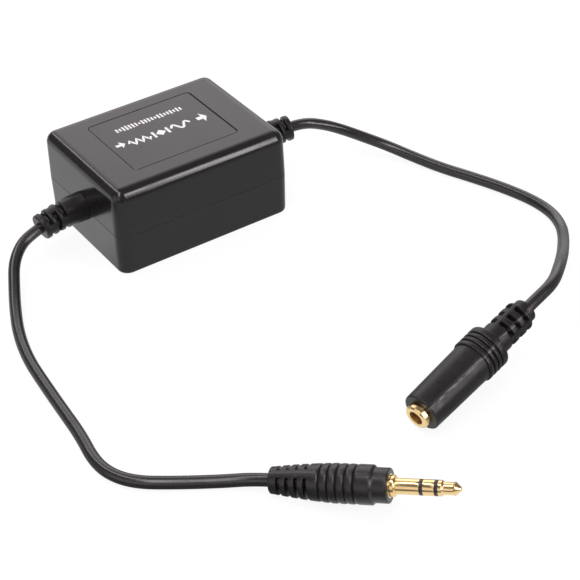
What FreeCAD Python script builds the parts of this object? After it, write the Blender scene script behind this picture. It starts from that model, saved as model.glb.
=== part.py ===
"""Audio noise filter: a two-part moulded case with a corded plug on one end and a corded jack on the other.

Millimetres, +Z up. The origin is the middle of the case's underside. +X runs along the case from
the plug's cord (IN, at -X) to the jack's cord (OUT, at +X). -Y is the case's near long side.
"""
import FreeCAD, Part
import math
import os

from FreeCAD import Placement, Rotation, Vector

# Case
CASE_LENGTH = 51.3
CASE_WIDTH = 39.5
CASE_HEIGHT = 24.7
PARTING_HEIGHT = 11.5
WALL = 1.8
ROOF = 2.0
FLOOR = 1.8
CORNER_RADIUS = 3.0
CAVITY_CORNER_RADIUS = 1.2
BOTTOM_EDGE_RADIUS = 0.9
TOP_DRAFT = 0.65
BOTTOM_DRAFT = 0.9
RIM_BEVEL = 0.06
TONGUE_HEIGHT = 1.0
TONGUE_THICKNESS = 0.8
TONGUE_CLEARANCE = 0.1

# Label plate in its recess
LABEL_LENGTH = 31.0
LABEL_WIDTH = 25.4
LABEL_THICKNESS = 0.35
LABEL_CORNER_RADIUS = 1.2
LABEL_RECESS = 0.45
LABEL_CLEARANCE = 0.15
LABEL_SHIFT_Y = 0.5

# Circuit board on its posts
BOARD_MARGIN = 2.4
BOARD_THICKNESS = 1.6
POST_HEIGHT = 2.7
POST_RADIUS = 2.2
POST_INSET = 3.0
PEG_RADIUS = 1.0
PEG_REACH = 4.0
PEG_CLEARANCE = 0.1
SOCKET_GAP = 0.2

# Isolating transformers
CORE_LENGTH = 14.0
CORE_STACK = 6.0
CORE_HEIGHT = 12.0
CORE_CENTRE_LEG = 4.0
CORE_OUTER_LEG = 2.0
CORE_YOKE = 2.0
BOBBIN_WALL = 0.5
BOBBIN_FLANGE = 0.6
BOBBIN_DEPTH = 12.0
BOBBIN_CLEARANCE = 0.1
PIN_BLOCK_DEPTH = 1.8
WINDING_CORNER_RADIUS = 0.8
WINDING_INSET = 0.4
PIN_RADIUS = 0.3
PIN_PITCH = 3.0
PIN_LENGTH = 2.5
PIN_CLEARANCE = 0.1
TRANSFORMER_GAP = 2.0

# Strain reliefs
NECK_RADIUS = 3.0
NECK_CLEARANCE = 0.1
FLANGE_RADIUS = 4.2
FLANGE_THICKNESS = 1.5
FLANGE_GAP = 0.1
TAIL_RADIUS = 1.9
TAIL_LENGTH = 1.8
RELIEF_LENGTH = 12.8
RELIEF_WALL_RADIUS = 3.9
RELIEF_END_RADIUS = 3.45
RELIEF_BEND = 14.0
RELIEF_IN_TURN = 25.0
RELIEF_OUT_TURN = 120.0
RELIEF_SLOT_START = 6.4
RELIEF_SLOT_PITCH = 2.15
RELIEF_SLOT_COUNT = 3
RELIEF_SLOT_WIDTH = 1.1
RELIEF_BAR_WIDTH = 2.6
RELIEF_CORE_RADIUS = 2.0

# Cords and the wires inside the case
CORD_RADIUS = 1.5
WIRE_RADIUS = 0.45
WIRE_PITCH = 1.1
WIRE_STRAIGHT = 1.5
WIRE_BEND_RADIUS = 2.5

# Plug, measured from the back of its handle
PLUG_PLACE_X = -38.03
PLUG_PLACE_Y = -106.62
PLUG_HEADING = -49.5
PLUG_TILT = 9.0
HANDLE_LENGTH = 26.7
HANDLE_REAR_RADIUS = 3.0
HANDLE_MIDDLE_RADIUS = 3.8
HANDLE_RADIUS = 4.35
HANDLE_REAR_ROUNDING = 0.6
HANDLE_TAPER_LENGTH = 14.4
HANDLE_COLLAR_END = 23.0
HANDLE_NOSE_RADIUS = 3.83
HANDLE_NOSE_BEVEL = 0.3
GROOVE_START = 11.77
GROOVE_PITCH = 1.93
GROOVE_COUNT = 5
GROOVE_WIDTH = 0.5
GROOVE_DEPTH = 0.4
HANDLE_SLOT_START = 2.36
HANDLE_SLOT_PITCH = 2.11
HANDLE_SLOT_COUNT = 4
HANDLE_SLOT_WIDTH = 0.85
HANDLE_BAR_WIDTH = 2.0
HANDLE_BAR_ANGLE = 111.0
HANDLE_CORE_RADIUS = 1.9
PLUG_FLANGE_RADIUS = 2.35
PLUG_FLANGE_THICKNESS = 1.25
SHAFT_RADIUS = 1.75
SLEEVE_LENGTH = 5.2
RING_LENGTH = 2.48
INSULATOR_LENGTH = 0.78
TIP_COLLAR_LENGTH = 0.8
TIP_NECK_LENGTH = 2.75
TIP_NECK_RADIUS = 1.38
TIP_NECK_EASE = 0.3
TIP_HEAD_RADIUS = 1.56
TIP_CONE_LENGTH = 1.3
TIP_END_RADIUS = 0.4
SLEEVE_BODY_RADIUS = 2.6
SLEEVE_BODY_LENGTH = 5.2
SLEEVE_BORE_RADIUS = 1.35
RING_BORE_RADIUS = 0.85
RING_TUBE_RADIUS = 1.15
ROD_RADIUS = 0.55
LUG_RADIUS = 1.9
LUG_THICKNESS = 0.4
LUG_PITCH = 1.9
PLUG_MOULD_RADIUS = 2.6
PLUG_MOULD_LENGTH = 9.0

# Jack, measured from the front of its barrel
JACK_PLACE_X = 0.22
JACK_PLACE_Y = -109.79
JACK_HEADING = 11.7
JACK_TILT = 12.0
BARREL_FRONT_RADIUS = 4.78
BARREL_REAR_RADIUS = 5.13
BARREL_LENGTH = 18.25
BARREL_EDGE = 0.3
COLLAR_RADIUS = 5.55
COLLAR_LENGTH = 6.4
COLLAR_BEVEL = 0.5
COLLAR_GROOVE_COUNT = 3
COLLAR_GROOVE_PITCH = 1.4
COLLAR_GROOVE_WIDTH = 0.5
COLLAR_GROOVE_DEPTH = 0.45
JACK_NECK_RADIUS = 3.8
JACK_NECK_LENGTH = 11.2
JACK_NECK_ROUNDING = 0.5
JACK_END_RADIUS = 2.95
JACK_END_LENGTH = 2.2
JACK_SLOT_START = 28.85
JACK_SLOT_PITCH = 2.75
JACK_SLOT_COUNT = 3
JACK_SLOT_WIDTH = 1.25
JACK_BAR_WIDTH = 1.1
JACK_BAR_ANGLE = -10.0
JACK_CORE_RADIUS = 1.95
NOSE_RADIUS = 3.1
NOSE_LENGTH = 1.9
NOSE_BEVEL = 0.35
MOUTH_RADIUS = 1.8
MOUTH_BEVEL = 0.15
BUSHING_RADIUS = 2.8
BUSHING_LENGTH = 9.0
SOCKET_BODY_RADIUS = 3.4
SOCKET_BODY_LENGTH = 8.0
SOCKET_DEPTH = 4.4
CONTACT_WIDTH = 1.3
CONTACT_THICKNESS = 0.35
CONTACT_RADIUS = 2.1
CONTACT_TAIL = 3.0
JACK_MOULD_RADIUS = 3.2
JACK_MOULD_LENGTH = 7.5

# Hand-chosen corners of each cord's route, between its two end pieces
IN_FIRST_RUN = 4.2
IN_LAST_RUN = 4.3
IN_ROUTE = [
    (-45.9, -2.9, 7.9), (-49.1, -6.1, 6.2), (-51.9, -11.3, 4.3), (-55.1, -17.7, 2.6),
    (-58.7, -26.5, 1.6), (-61.2, -36.6, 1.5), (-62.2, -46.2, 1.5), (-63.1, -56.3, 1.5),
    (-64.0, -67.9, 1.5), (-65.6, -76.8, 1.5), (-64.9, -83.1, 1.5), (-61.6, -88.6, 1.5),
    (-55.1, -93.5, 1.5), (-46.7, -99.1, 1.5),
]
OUT_FIRST_RUN = 4.0
OUT_LAST_RUN = 4.0
OUT_ROUTE = [
    (48.3, -3.2, 10.4), (53.3, -5.0, 7.8), (57.8, -8.9, 5.6), (62.5, -13.8, 3.4),
    (66.0, -20.5, 2.0), (69.2, -29.1, 1.5), (73.0, -37.9, 1.5), (76.5, -47.0, 1.5),
    (79.0, -56.4, 1.5), (79.1, -63.9, 1.5), (76.1, -70.9, 2.4), (71.1, -77.2, 4.2),
    (65.0, -83.6, 7.2), (59.9, -88.8, 10.4), (53.6, -94.6, 13.0), (47.0, -99.9, 14.3),
]
ARC_SHARE = 0.45

# Derived places
BOARD_UNDERSIDE = FLOOR + POST_HEIGHT
BOARD_TOP = BOARD_UNDERSIDE + BOARD_THICKNESS
BOARD_LENGTH = CASE_LENGTH - 2 * (WALL + BOARD_MARGIN)
BOARD_WIDTH = CASE_WIDTH - 2 * (WALL + BOARD_MARGIN)
CAVITY_TOP = CASE_HEIGHT - ROOF
X_AXIS = Vector(1, 0, 0)
Y_AXIS = Vector(0, 1, 0)
Z_AXIS = Vector(0, 0, 1)
ORIGIN = Vector(0, 0, 0)
IN_SIDE = -1
OUT_SIDE = 1


# Shape helpers

def rounded_rectangle(length, width, radius, height):
    """Closed wire, centred on Z, with four straight sides and four corner arcs."""
    half_x = length / 2
    half_y = width / 2
    edges = []
    corners = [(half_x, half_y, 0), (-half_x, half_y, 90), (-half_x, -half_y, 180), (half_x, -half_y, 270)]
    ends = []
    for x, y, start in corners:
        centre = Vector(x - math.copysign(radius, x), y - math.copysign(radius, y), height)
        points = [
            centre + Vector(math.cos(math.radians(a)), math.sin(math.radians(a)), 0) * radius
            for a in (start, start + 45, start + 90)
        ]
        ends.append((points[0], points[2]))
        edges.append(Part.Arc(*points).toShape())
    for index in range(len(ends)):
        following = ends[(index + 1) % len(ends)]
        edges.insert(2 * index + 1, Part.LineSegment(ends[index][1], following[0]).toShape())
    return Part.Wire(edges)


def slab(length, width, radius, low, high):
    """Upright block with rounded corners between two heights."""
    face = Part.Face(rounded_rectangle(length, width, radius, low))
    return face.extrude(Vector(0, 0, high - low))


def block(centre_x, centre_y, low, size_x, size_y, size_z):
    """Box centred on X and Y, standing on the height `low`."""
    corner = Vector(centre_x - size_x / 2, centre_y - size_y / 2, low)
    return Part.makeBox(size_x, size_y, size_z, corner)


def disc(radius, low, high):
    """Cylinder along X between two stations."""
    return Part.makeCylinder(radius, high - low, Vector(low, 0, 0), X_AXIS)


def turned(outline):
    """Solid of revolution about X.

    Each entry is (x, r) for a straight run to that point, or ((x, r), (x, r)) for an arc
    through the first point to the second.
    """
    start = Vector(outline[0][0], outline[0][1], 0)
    here = start
    edges = []
    for entry in outline[1:]:
        if isinstance(entry[0], tuple):
            middle = Vector(entry[0][0], entry[0][1], 0)
            there = Vector(entry[1][0], entry[1][1], 0)
            edges.append(Part.Arc(here, middle, there).toShape())
        else:
            there = Vector(entry[0], entry[1], 0)
            edges.append(Part.LineSegment(here, there).toShape())
        here = there
    edges.append(Part.LineSegment(here, start).toShape())
    return Part.Face(Part.Wire(edges)).revolve(ORIGIN, X_AXIS, 360)


def tube(outer, inner, low, high):
    """Hollow cylinder along X."""
    return disc(outer, low, high).cut(disc(inner, low, high))


def fused(shapes):
    """One clean solid from several that meet."""
    return shapes[0].fuse(shapes[1:]).removeSplitter()


def rim_edges(shape, height):
    """Edges of a shape that lie wholly at one height."""
    return [e for e in shape.Edges if all(abs(v.Z - height) < 1e-6 for v in e.Vertexes)]


def corner_edges(shape):
    """Edges of a shape that run from its lowest height to its highest."""
    return [e for e in shape.Edges if abs(e.Vertexes[0].Z - e.Vertexes[-1].Z) > shape.BoundBox.ZLength / 2]


def wedge_block(length, width, shrink, low, high):
    """Flat-sided block whose size at `high` is less by `shrink` than at `low`."""
    x = length / 2
    y = width / 2
    inset = shrink / 2
    wedge = Part.makeWedge(-x, 0, -y, inset - y, inset - x, x, abs(high - low), y, y - inset, x - inset)
    upright = Rotation(X_AXIS, 90 if high > low else -90)
    wedge.transformShape(Placement(Vector(0, 0, low), upright).toMatrix())
    return wedge


def slot_ring(station, width, core, bar, angles):
    """What is cut away at one slot of a bend relief: a ring, less the bars that cross it."""
    reach = 4 * core
    ring = tube(reach, core, station - width / 2, station + width / 2)
    for angle in angles:
        rib = Part.makeBox(2 * width, 2 * reach, bar, Vector(station - width, -reach, -bar / 2))
        rib.rotate(ORIGIN, X_AXIS, angle)
        ring = ring.cut(rib)
    return ring


# Case shells

def outer_form(far, draft):
    """Outside of a half case from the parting plane to the height `far`, narrower away from it."""
    shrink = 2 * abs(far - PARTING_HEIGHT) * math.tan(math.radians(draft))
    return wedge_block(CASE_LENGTH, CASE_WIDTH, shrink, PARTING_HEIGHT, far)


def bevelled_rim(form):
    """The form with its edge at the parting plane broken."""
    return form.makeChamfer(RIM_BEVEL, rim_edges(form, PARTING_HEIGHT))


def cavity(low, high):
    """Room inside the walls."""
    return slab(CASE_LENGTH - 2 * WALL, CASE_WIDTH - 2 * WALL, CAVITY_CORNER_RADIUS, low, high)


def rebate(thickness, height):
    """Block as wide as the cavity plus a thickness all round, standing on the parting plane."""
    return slab(
        CASE_LENGTH - 2 * (WALL - thickness),
        CASE_WIDTH - 2 * (WALL - thickness),
        CAVITY_CORNER_RADIUS + thickness,
        PARTING_HEIGHT,
        PARTING_HEIGHT + height,
    )


def cord_passage():
    """Round hole through both end walls, half in each shell."""
    hole = disc(NECK_RADIUS + NECK_CLEARANCE, -CASE_LENGTH, CASE_LENGTH)
    hole.translate(Vector(0, 0, PARTING_HEIGHT))
    return hole


def post_places():
    """Middles of the four board posts."""
    half_x = BOARD_LENGTH / 2 - POST_INSET
    half_y = BOARD_WIDTH / 2 - POST_INSET
    return [(x, y) for x in (-half_x, half_x) for y in (-half_y, half_y)]


def case_bottom():
    """Lower shell with its tongue, posts and locating pegs."""
    form = outer_form(0, BOTTOM_DRAFT)
    form = form.makeFillet(CORNER_RADIUS, corner_edges(form))
    form = form.makeFillet(BOTTOM_EDGE_RADIUS, rim_edges(form, 0))
    shell = bevelled_rim(form).cut(cavity(FLOOR, PARTING_HEIGHT + 1))
    tongue = rebate(TONGUE_THICKNESS, TONGUE_HEIGHT).cut(cavity(FLOOR, CASE_HEIGHT))
    pieces = [shell, tongue]
    for x, y in post_places():
        pieces.append(Part.makeCylinder(POST_RADIUS, POST_HEIGHT, Vector(x, y, FLOOR)))
        peg_top = BOARD_TOP + PEG_REACH
        pieces.append(Part.makeCylinder(PEG_RADIUS, peg_top - FLOOR, Vector(x, y, FLOOR)))
    return fused(pieces).cut(cord_passage())


def hollow_post(x, y):
    """Post that hangs from the roof, with the socket for one peg in its end."""
    low = BOARD_TOP + SOCKET_GAP
    post = Part.makeCylinder(POST_RADIUS, CAVITY_TOP - low, Vector(x, y, low))
    return post.cut(Part.makeCylinder(PEG_RADIUS + PEG_CLEARANCE, PEG_REACH, Vector(x, y, low)))


def label_recess():
    """What is cut from the top for the label plate."""
    recess = slab(
        LABEL_LENGTH + 2 * LABEL_CLEARANCE,
        LABEL_WIDTH + 2 * LABEL_CLEARANCE,
        LABEL_CORNER_RADIUS + LABEL_CLEARANCE,
        CASE_HEIGHT - LABEL_RECESS,
        CASE_HEIGHT + 1,
    )
    recess.translate(Vector(0, LABEL_SHIFT_Y, 0))
    return recess


def case_top():
    """Upper shell with its label recess, rebate and the sockets that take the pegs."""
    form = outer_form(CASE_HEIGHT, TOP_DRAFT)
    form = form.makeFillet(CORNER_RADIUS, corner_edges(form) + rim_edges(form, CASE_HEIGHT))
    shell = bevelled_rim(form).cut(cavity(PARTING_HEIGHT - 1, CAVITY_TOP))
    shell = shell.cut(rebate(TONGUE_THICKNESS + TONGUE_CLEARANCE, TONGUE_HEIGHT + TONGUE_CLEARANCE))
    shell = fused([shell] + [hollow_post(x, y) for x, y in post_places()])
    return shell.cut(label_recess()).cut(cord_passage())


def label_plate():
    """Thin plate seated on the floor of the recess in the top."""
    low = CASE_HEIGHT - LABEL_RECESS
    plate = slab(LABEL_LENGTH, LABEL_WIDTH, LABEL_CORNER_RADIUS, low, low + LABEL_THICKNESS)
    plate.translate(Vector(0, LABEL_SHIFT_Y, 0))
    return plate


# Inside the case

def transformer_places():
    """Middles of the two isolating transformers, one for each channel."""
    half = (BOBBIN_DEPTH + TRANSFORMER_GAP) / 2
    return {"left": (0, half), "right": (0, -half)}


def pin_places(x, y):
    """Middles of a transformer's six pins."""
    row = BOBBIN_DEPTH / 2 - PIN_BLOCK_DEPTH / 2
    return [(x + step * PIN_PITCH, y + side * row) for side in (-1, 1) for step in (-1, 0, 1)]


def circuit_board():
    """Board with holes for the pegs and for the transformers' pins."""
    board = block(0, 0, BOARD_UNDERSIDE, BOARD_LENGTH, BOARD_WIDTH, BOARD_THICKNESS)
    drills = [(x, y, PEG_RADIUS + PEG_CLEARANCE) for x, y in post_places()]
    for place in transformer_places().values():
        drills += [(x, y, PIN_RADIUS + PIN_CLEARANCE) for x, y in pin_places(*place)]
    for x, y, radius in drills:
        board = board.cut(Part.makeCylinder(radius, BOARD_THICKNESS, Vector(x, y, BOARD_UNDERSIDE)))
    return board


def window_width():
    """Width of each of the core's two windows."""
    return (CORE_LENGTH - CORE_CENTRE_LEG - 2 * CORE_OUTER_LEG) / 2


def transformer_core(x, y):
    """Laminated core: an upright frame with a centre leg."""
    core = block(x, y, BOARD_TOP, CORE_LENGTH, CORE_STACK, CORE_HEIGHT)
    offset = (CORE_CENTRE_LEG + window_width()) / 2
    for side in (-1, 1):
        window = block(
            x + side * offset, y, BOARD_TOP + CORE_YOKE,
            window_width(), CORE_STACK, CORE_HEIGHT - 2 * CORE_YOKE,
        )
        core = core.cut(window)
    return core


def bobbin_levels():
    """Lowest and highest height of the bobbin inside the core's windows."""
    low = BOARD_TOP + CORE_YOKE + BOBBIN_CLEARANCE
    high = BOARD_TOP + CORE_HEIGHT - CORE_YOKE - BOBBIN_CLEARANCE
    return low, high


def bobbin_width():
    """Length of a bobbin flange along the core."""
    return CORE_CENTRE_LEG + 2 * window_width() - 2 * BOBBIN_CLEARANCE


def transformer_bobbin(x, y):
    """Coil former: a square tube round the centre leg, two flanges and two pin blocks."""
    low, high = bobbin_levels()
    inner_x = CORE_CENTRE_LEG + 2 * BOBBIN_CLEARANCE
    inner_y = CORE_STACK + 2 * BOBBIN_CLEARANCE
    barrel = block(x, y, low, inner_x + 2 * BOBBIN_WALL, inner_y + 2 * BOBBIN_WALL, high - low)
    pieces = [barrel]
    for level in (low, high - BOBBIN_FLANGE):
        pieces.append(block(x, y, level, bobbin_width(), BOBBIN_DEPTH, BOBBIN_FLANGE))
    row = BOBBIN_DEPTH / 2 - PIN_BLOCK_DEPTH / 2
    for side in (-1, 1):
        pieces.append(block(x, y + side * row, BOARD_TOP, bobbin_width(), PIN_BLOCK_DEPTH, low - BOARD_TOP))
    return fused(pieces).cut(block(x, y, low, inner_x, inner_y, high - low))


def transformer_winding(x, y):
    """Wound wire between the flanges, as one body."""
    low, high = bobbin_levels()
    low += BOBBIN_FLANGE
    high -= BOBBIN_FLANGE
    outer = slab(
        bobbin_width() - 2 * WINDING_INSET, BOBBIN_DEPTH - 2 * WINDING_INSET,
        WINDING_CORNER_RADIUS, low, high,
    )
    outer.translate(Vector(x, y, 0))
    rim = 2 * (BOBBIN_CLEARANCE + BOBBIN_WALL)
    return outer.cut(block(x, y, low, CORE_CENTRE_LEG + rim, CORE_STACK + rim, high - low))


def transformer_pins(x, y):
    """Six pins that stand in the pin blocks and go down through the board."""
    pins = [
        Part.makeCylinder(PIN_RADIUS, PIN_LENGTH, Vector(px, py, BOARD_TOP - PIN_LENGTH))
        for px, py in pin_places(x, y)
    ]
    return Part.makeCompound(pins)


def wire(side, offset):
    """One insulated wire from a cord's inner end down to the board."""
    start = Vector(side * relief_inner_end(), offset, PARTING_HEIGHT)
    inward = Vector(-side, 0, 0)
    bend_start = start + inward * WIRE_STRAIGHT
    centre = bend_start - Z_AXIS * WIRE_BEND_RADIUS
    slant = math.sqrt(0.5) * WIRE_BEND_RADIUS
    middle = centre + inward * slant + Z_AXIS * slant
    bend_end = centre + inward * WIRE_BEND_RADIUS
    foot = Vector(bend_end.x, offset, BOARD_TOP)
    path = Part.Wire([
        Part.LineSegment(start, bend_start).toShape(),
        Part.Arc(bend_start, middle, bend_end).toShape(),
        Part.LineSegment(bend_end, foot).toShape(),
    ])
    return swept_round(path, start, inward, WIRE_RADIUS)


def swept_round(path, start, direction, radius):
    """Round solid along a path of straight runs and tangent arcs."""
    section = Part.Wire([Part.makeCircle(radius, start, direction)])
    return path.makePipeShell([section], True, True)


# Strain reliefs

def relief_inner_end():
    """Distance from the case's middle to the inner end of a strain relief."""
    return CASE_LENGTH / 2 - WALL - FLANGE_GAP - FLANGE_THICKNESS - TAIL_LENGTH


def bend_point(distance):
    """Point and angle on the relief's bent centreline, bending down from +X at the origin."""
    radius = RELIEF_LENGTH / math.radians(RELIEF_BEND)
    angle = distance / radius
    return Vector(radius * math.sin(angle), 0, -radius * (1 - math.cos(angle))), math.degrees(angle)


def relief_placement(side, turn):
    """Placement of a strain relief on its end wall, its bend turned from straight down to -Y."""
    roll = Rotation(X_AXIS, -side * turn)
    face = Rotation(Z_AXIS, 0 if side > 0 else 180)
    return Placement(Vector(side * CASE_LENGTH / 2, 0, PARTING_HEIGHT), face.multiply(roll))


def strain_relief(side, turn):
    """Moulded relief: a slotted, slightly bent cone outside and a flange inside the end wall."""
    middle, half_bend = bend_point(RELIEF_LENGTH / 2)
    end, bend = bend_point(RELIEF_LENGTH)
    path = Part.Wire([Part.Arc(ORIGIN, middle, end).toShape()])
    end_direction = Rotation(Y_AXIS, bend).multVec(X_AXIS)
    sections = [
        Part.Wire([Part.makeCircle(RELIEF_WALL_RADIUS, ORIGIN, X_AXIS)]),
        Part.Wire([Part.makeCircle(RELIEF_END_RADIUS, end, end_direction)]),
    ]
    body = path.makePipeShell(sections, True, True)
    for index in range(RELIEF_SLOT_COUNT):
        station = RELIEF_SLOT_START + index * RELIEF_SLOT_PITCH
        bar_angle = 90 * (index % 2) + side * turn
        cutter = slot_ring(0, RELIEF_SLOT_WIDTH, RELIEF_CORE_RADIUS, RELIEF_BAR_WIDTH, [bar_angle])
        point, angle = bend_point(station)
        cutter.Placement = Placement(point, Rotation(Y_AXIS, angle))
        body = body.cut(cutter)
    flange_face = -WALL - FLANGE_GAP
    inside = [
        disc(NECK_RADIUS, flange_face, 0),
        disc(FLANGE_RADIUS, flange_face - FLANGE_THICKNESS, flange_face),
        disc(TAIL_RADIUS, flange_face - FLANGE_THICKNESS - TAIL_LENGTH, flange_face - FLANGE_THICKNESS),
    ]
    shape = fused([body] + inside)
    shape.Placement = relief_placement(side, turn)
    return shape


def relief_exit(side, turn):
    """Point and direction where the cord leaves a strain relief."""
    place = relief_placement(side, turn)
    end, bend = bend_point(RELIEF_LENGTH)
    direction = place.Rotation.multVec(Rotation(Y_AXIS, bend).multVec(X_AXIS))
    return place.multVec(end), direction


# Cords

def cord(name, points):
    """Tube along a route: straight runs joined by tangent arcs as large as the runs allow."""
    edges = []
    here = points[0]
    length = 0
    radii = []
    for before, corner, after in zip(points, points[1:], points[2:]):
        back = (before - corner)
        ahead = (after - corner)
        reach = ARC_SHARE * min(back.Length, ahead.Length)
        half_turn = (math.pi - back.getAngle(ahead)) / 2
        radius = reach / math.tan(half_turn)
        back.normalize()
        ahead.normalize()
        arc_start = corner + back * reach
        arc_end = corner + ahead * reach
        inward = back + ahead
        inward.normalize()
        arc_middle = corner + inward * (radius / math.cos(half_turn) - radius)
        edges.append(Part.LineSegment(here, arc_start).toShape())
        edges.append(Part.Arc(arc_start, arc_middle, arc_end).toShape())
        radii.append(radius)
        here = arc_end
    edges.append(Part.LineSegment(here, points[-1]).toShape())
    length = sum(edge.Length for edge in edges)
    shape = swept_round(Part.Wire(edges), points[0], points[1] - points[0], CORD_RADIUS)
    expected = math.pi * CORD_RADIUS ** 2 * length
    print(name, "length", round(length, 1), "radii", [round(r, 1) for r in radii])
    print(name, "volume", round(shape.Volume, 1), "section times length", round(expected, 1))
    return shape


def cord_points(side, turn, first_run, route, last_run, end, end_direction):
    """Whole route of a cord: out of its relief, through its corners and into its end piece."""
    start, direction = relief_exit(side, turn)
    middle = [Vector(*point) for point in route]
    return [start, start + direction * first_run] + middle + [end + end_direction * last_run, end]


# Plug

def resting_height(radius, station, tilt):
    """Height of a tilted piece's origin when its rim at one station just rests on z = 0."""
    lean = math.radians(tilt)
    return radius * math.cos(lean) - station * math.sin(lean)


def plug_placement():
    """Where the back of the plug's handle lies, and which way the plug points."""
    aim = Rotation(Z_AXIS, PLUG_HEADING).multiply(Rotation(Y_AXIS, -PLUG_TILT))
    height = resting_height(HANDLE_REAR_RADIUS, HANDLE_REAR_ROUNDING, PLUG_TILT)
    return Placement(Vector(PLUG_PLACE_X, PLUG_PLACE_Y, height), aim)


def plug_handle_outline():
    """Outline of the handle: rounded back, swelling taper, grooves, wide collar and nose."""
    taper_middle = HANDLE_TAPER_LENGTH / 2
    rounding = HANDLE_REAR_ROUNDING
    slant = rounding * (1 - math.sqrt(0.5))
    outline = [
        (0, 0),
        (0, HANDLE_REAR_RADIUS - rounding),
        ((slant, HANDLE_REAR_RADIUS - slant), (rounding, HANDLE_REAR_RADIUS)),
        ((taper_middle, HANDLE_MIDDLE_RADIUS), (HANDLE_TAPER_LENGTH, HANDLE_RADIUS)),
        (HANDLE_COLLAR_END, HANDLE_RADIUS),
        (HANDLE_COLLAR_END + HANDLE_RADIUS - HANDLE_NOSE_RADIUS, HANDLE_NOSE_RADIUS),
        (HANDLE_LENGTH - HANDLE_NOSE_BEVEL, HANDLE_NOSE_RADIUS),
        (HANDLE_LENGTH, HANDLE_NOSE_RADIUS - HANDLE_NOSE_BEVEL),
        (HANDLE_LENGTH, 0),
    ]
    return outline


def handle_radius(station):
    """Radius of the plug's handle at a station of its taper or collar."""
    if station >= HANDLE_TAPER_LENGTH:
        return HANDLE_RADIUS
    start = Vector(HANDLE_REAR_ROUNDING, HANDLE_REAR_RADIUS, 0)
    middle = Vector(HANDLE_TAPER_LENGTH / 2, HANDLE_MIDDLE_RADIUS, 0)
    circle = Part.Arc(start, middle, Vector(HANDLE_TAPER_LENGTH, HANDLE_RADIUS, 0)).toShape().Curve
    rise = math.sqrt(circle.Radius ** 2 - (station - circle.Center.x) ** 2)
    return circle.Center.y + rise


def ring_groove(station, radius, width, depth):
    """Ring with a V section that cuts one groove."""
    return turned([
        (station - width / 2, radius),
        (station, radius - depth),
        (station + width / 2, radius),
        (station + width / 2, radius + depth),
        (station - width / 2, radius + depth),
    ])


def plug_handle():
    """Handle with its grooves, bend-relief slots and the room for what it is moulded round."""
    handle = turned(plug_handle_outline())
    for index in range(GROOVE_COUNT):
        station = GROOVE_START + index * GROOVE_PITCH
        handle = handle.cut(ring_groove(station, handle_radius(station), GROOVE_WIDTH, GROOVE_DEPTH))
    for index in range(HANDLE_SLOT_COUNT):
        station = HANDLE_SLOT_START + index * HANDLE_SLOT_PITCH
        ring = slot_ring(
            station, HANDLE_SLOT_WIDTH, HANDLE_CORE_RADIUS, HANDLE_BAR_WIDTH, [HANDLE_BAR_ANGLE],
        )
        handle = handle.cut(ring)
    sleeve_room = disc(SLEEVE_BODY_RADIUS, sleeve_back(), HANDLE_LENGTH)
    mould_room = disc(PLUG_MOULD_RADIUS, plug_mould_back(), sleeve_back())
    return handle.cut(sleeve_room).cut(mould_room)


def sleeve_back():
    """Station of the back of the sleeve's body inside the handle."""
    return HANDLE_LENGTH - SLEEVE_BODY_LENGTH


def plug_mould_back():
    """Station of the back of the inner mould."""
    return sleeve_back() - PLUG_MOULD_LENGTH


def shaft_stations():
    """Stations along the shaft, from the flange's front to the tip collar's front."""
    flange = HANDLE_LENGTH + PLUG_FLANGE_THICKNESS
    sleeve = flange + SLEEVE_LENGTH
    first_insulator = sleeve + INSULATOR_LENGTH
    ring = first_insulator + RING_LENGTH
    second_insulator = ring + INSULATOR_LENGTH
    return flange, sleeve, first_insulator, ring, second_insulator


def plug_sleeve():
    """Gold sleeve: a body in the handle, a flange on its front and the shaft's first length."""
    flange, sleeve, _, _, _ = shaft_stations()
    pieces = [
        disc(SLEEVE_BODY_RADIUS, sleeve_back(), HANDLE_LENGTH),
        disc(PLUG_FLANGE_RADIUS, HANDLE_LENGTH, flange),
        disc(SHAFT_RADIUS, flange, sleeve),
    ]
    return fused(pieces).cut(disc(SLEEVE_BORE_RADIUS, sleeve_back(), sleeve))


def lug(index):
    """Solder washer on the back of one of the nested contacts."""
    back = sleeve_back() - (index + 1) * LUG_PITCH
    return disc(LUG_RADIUS, back, back + LUG_THICKNESS)


def plug_ring_insulator():
    """Insulator between the sleeve and the ring, with the tube that lines the sleeve."""
    _, sleeve, front, _, _ = shaft_stations()
    back = sleeve_back() - LUG_PITCH + LUG_THICKNESS
    pieces = [disc(SLEEVE_BORE_RADIUS, back, sleeve), disc(SHAFT_RADIUS, sleeve, front)]
    return fused(pieces).cut(disc(RING_TUBE_RADIUS, back, front))


def plug_ring():
    """Gold ring with its tube and the washer at its back."""
    _, _, back_face, front, _ = shaft_stations()
    back = sleeve_back() - LUG_PITCH
    pieces = [lug(0), disc(RING_TUBE_RADIUS, back, back_face), disc(SHAFT_RADIUS, back_face, front)]
    return fused(pieces).cut(disc(RING_BORE_RADIUS, back, front))


def plug_tip_insulator():
    """Insulator between the ring and the tip, with the tube that lines the ring."""
    _, _, _, back_face, front = shaft_stations()
    back = sleeve_back() - 2 * LUG_PITCH + LUG_THICKNESS
    pieces = [disc(RING_BORE_RADIUS, back, back_face), disc(SHAFT_RADIUS, back_face, front)]
    return fused(pieces).cut(disc(ROD_RADIUS, back, front))


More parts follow.
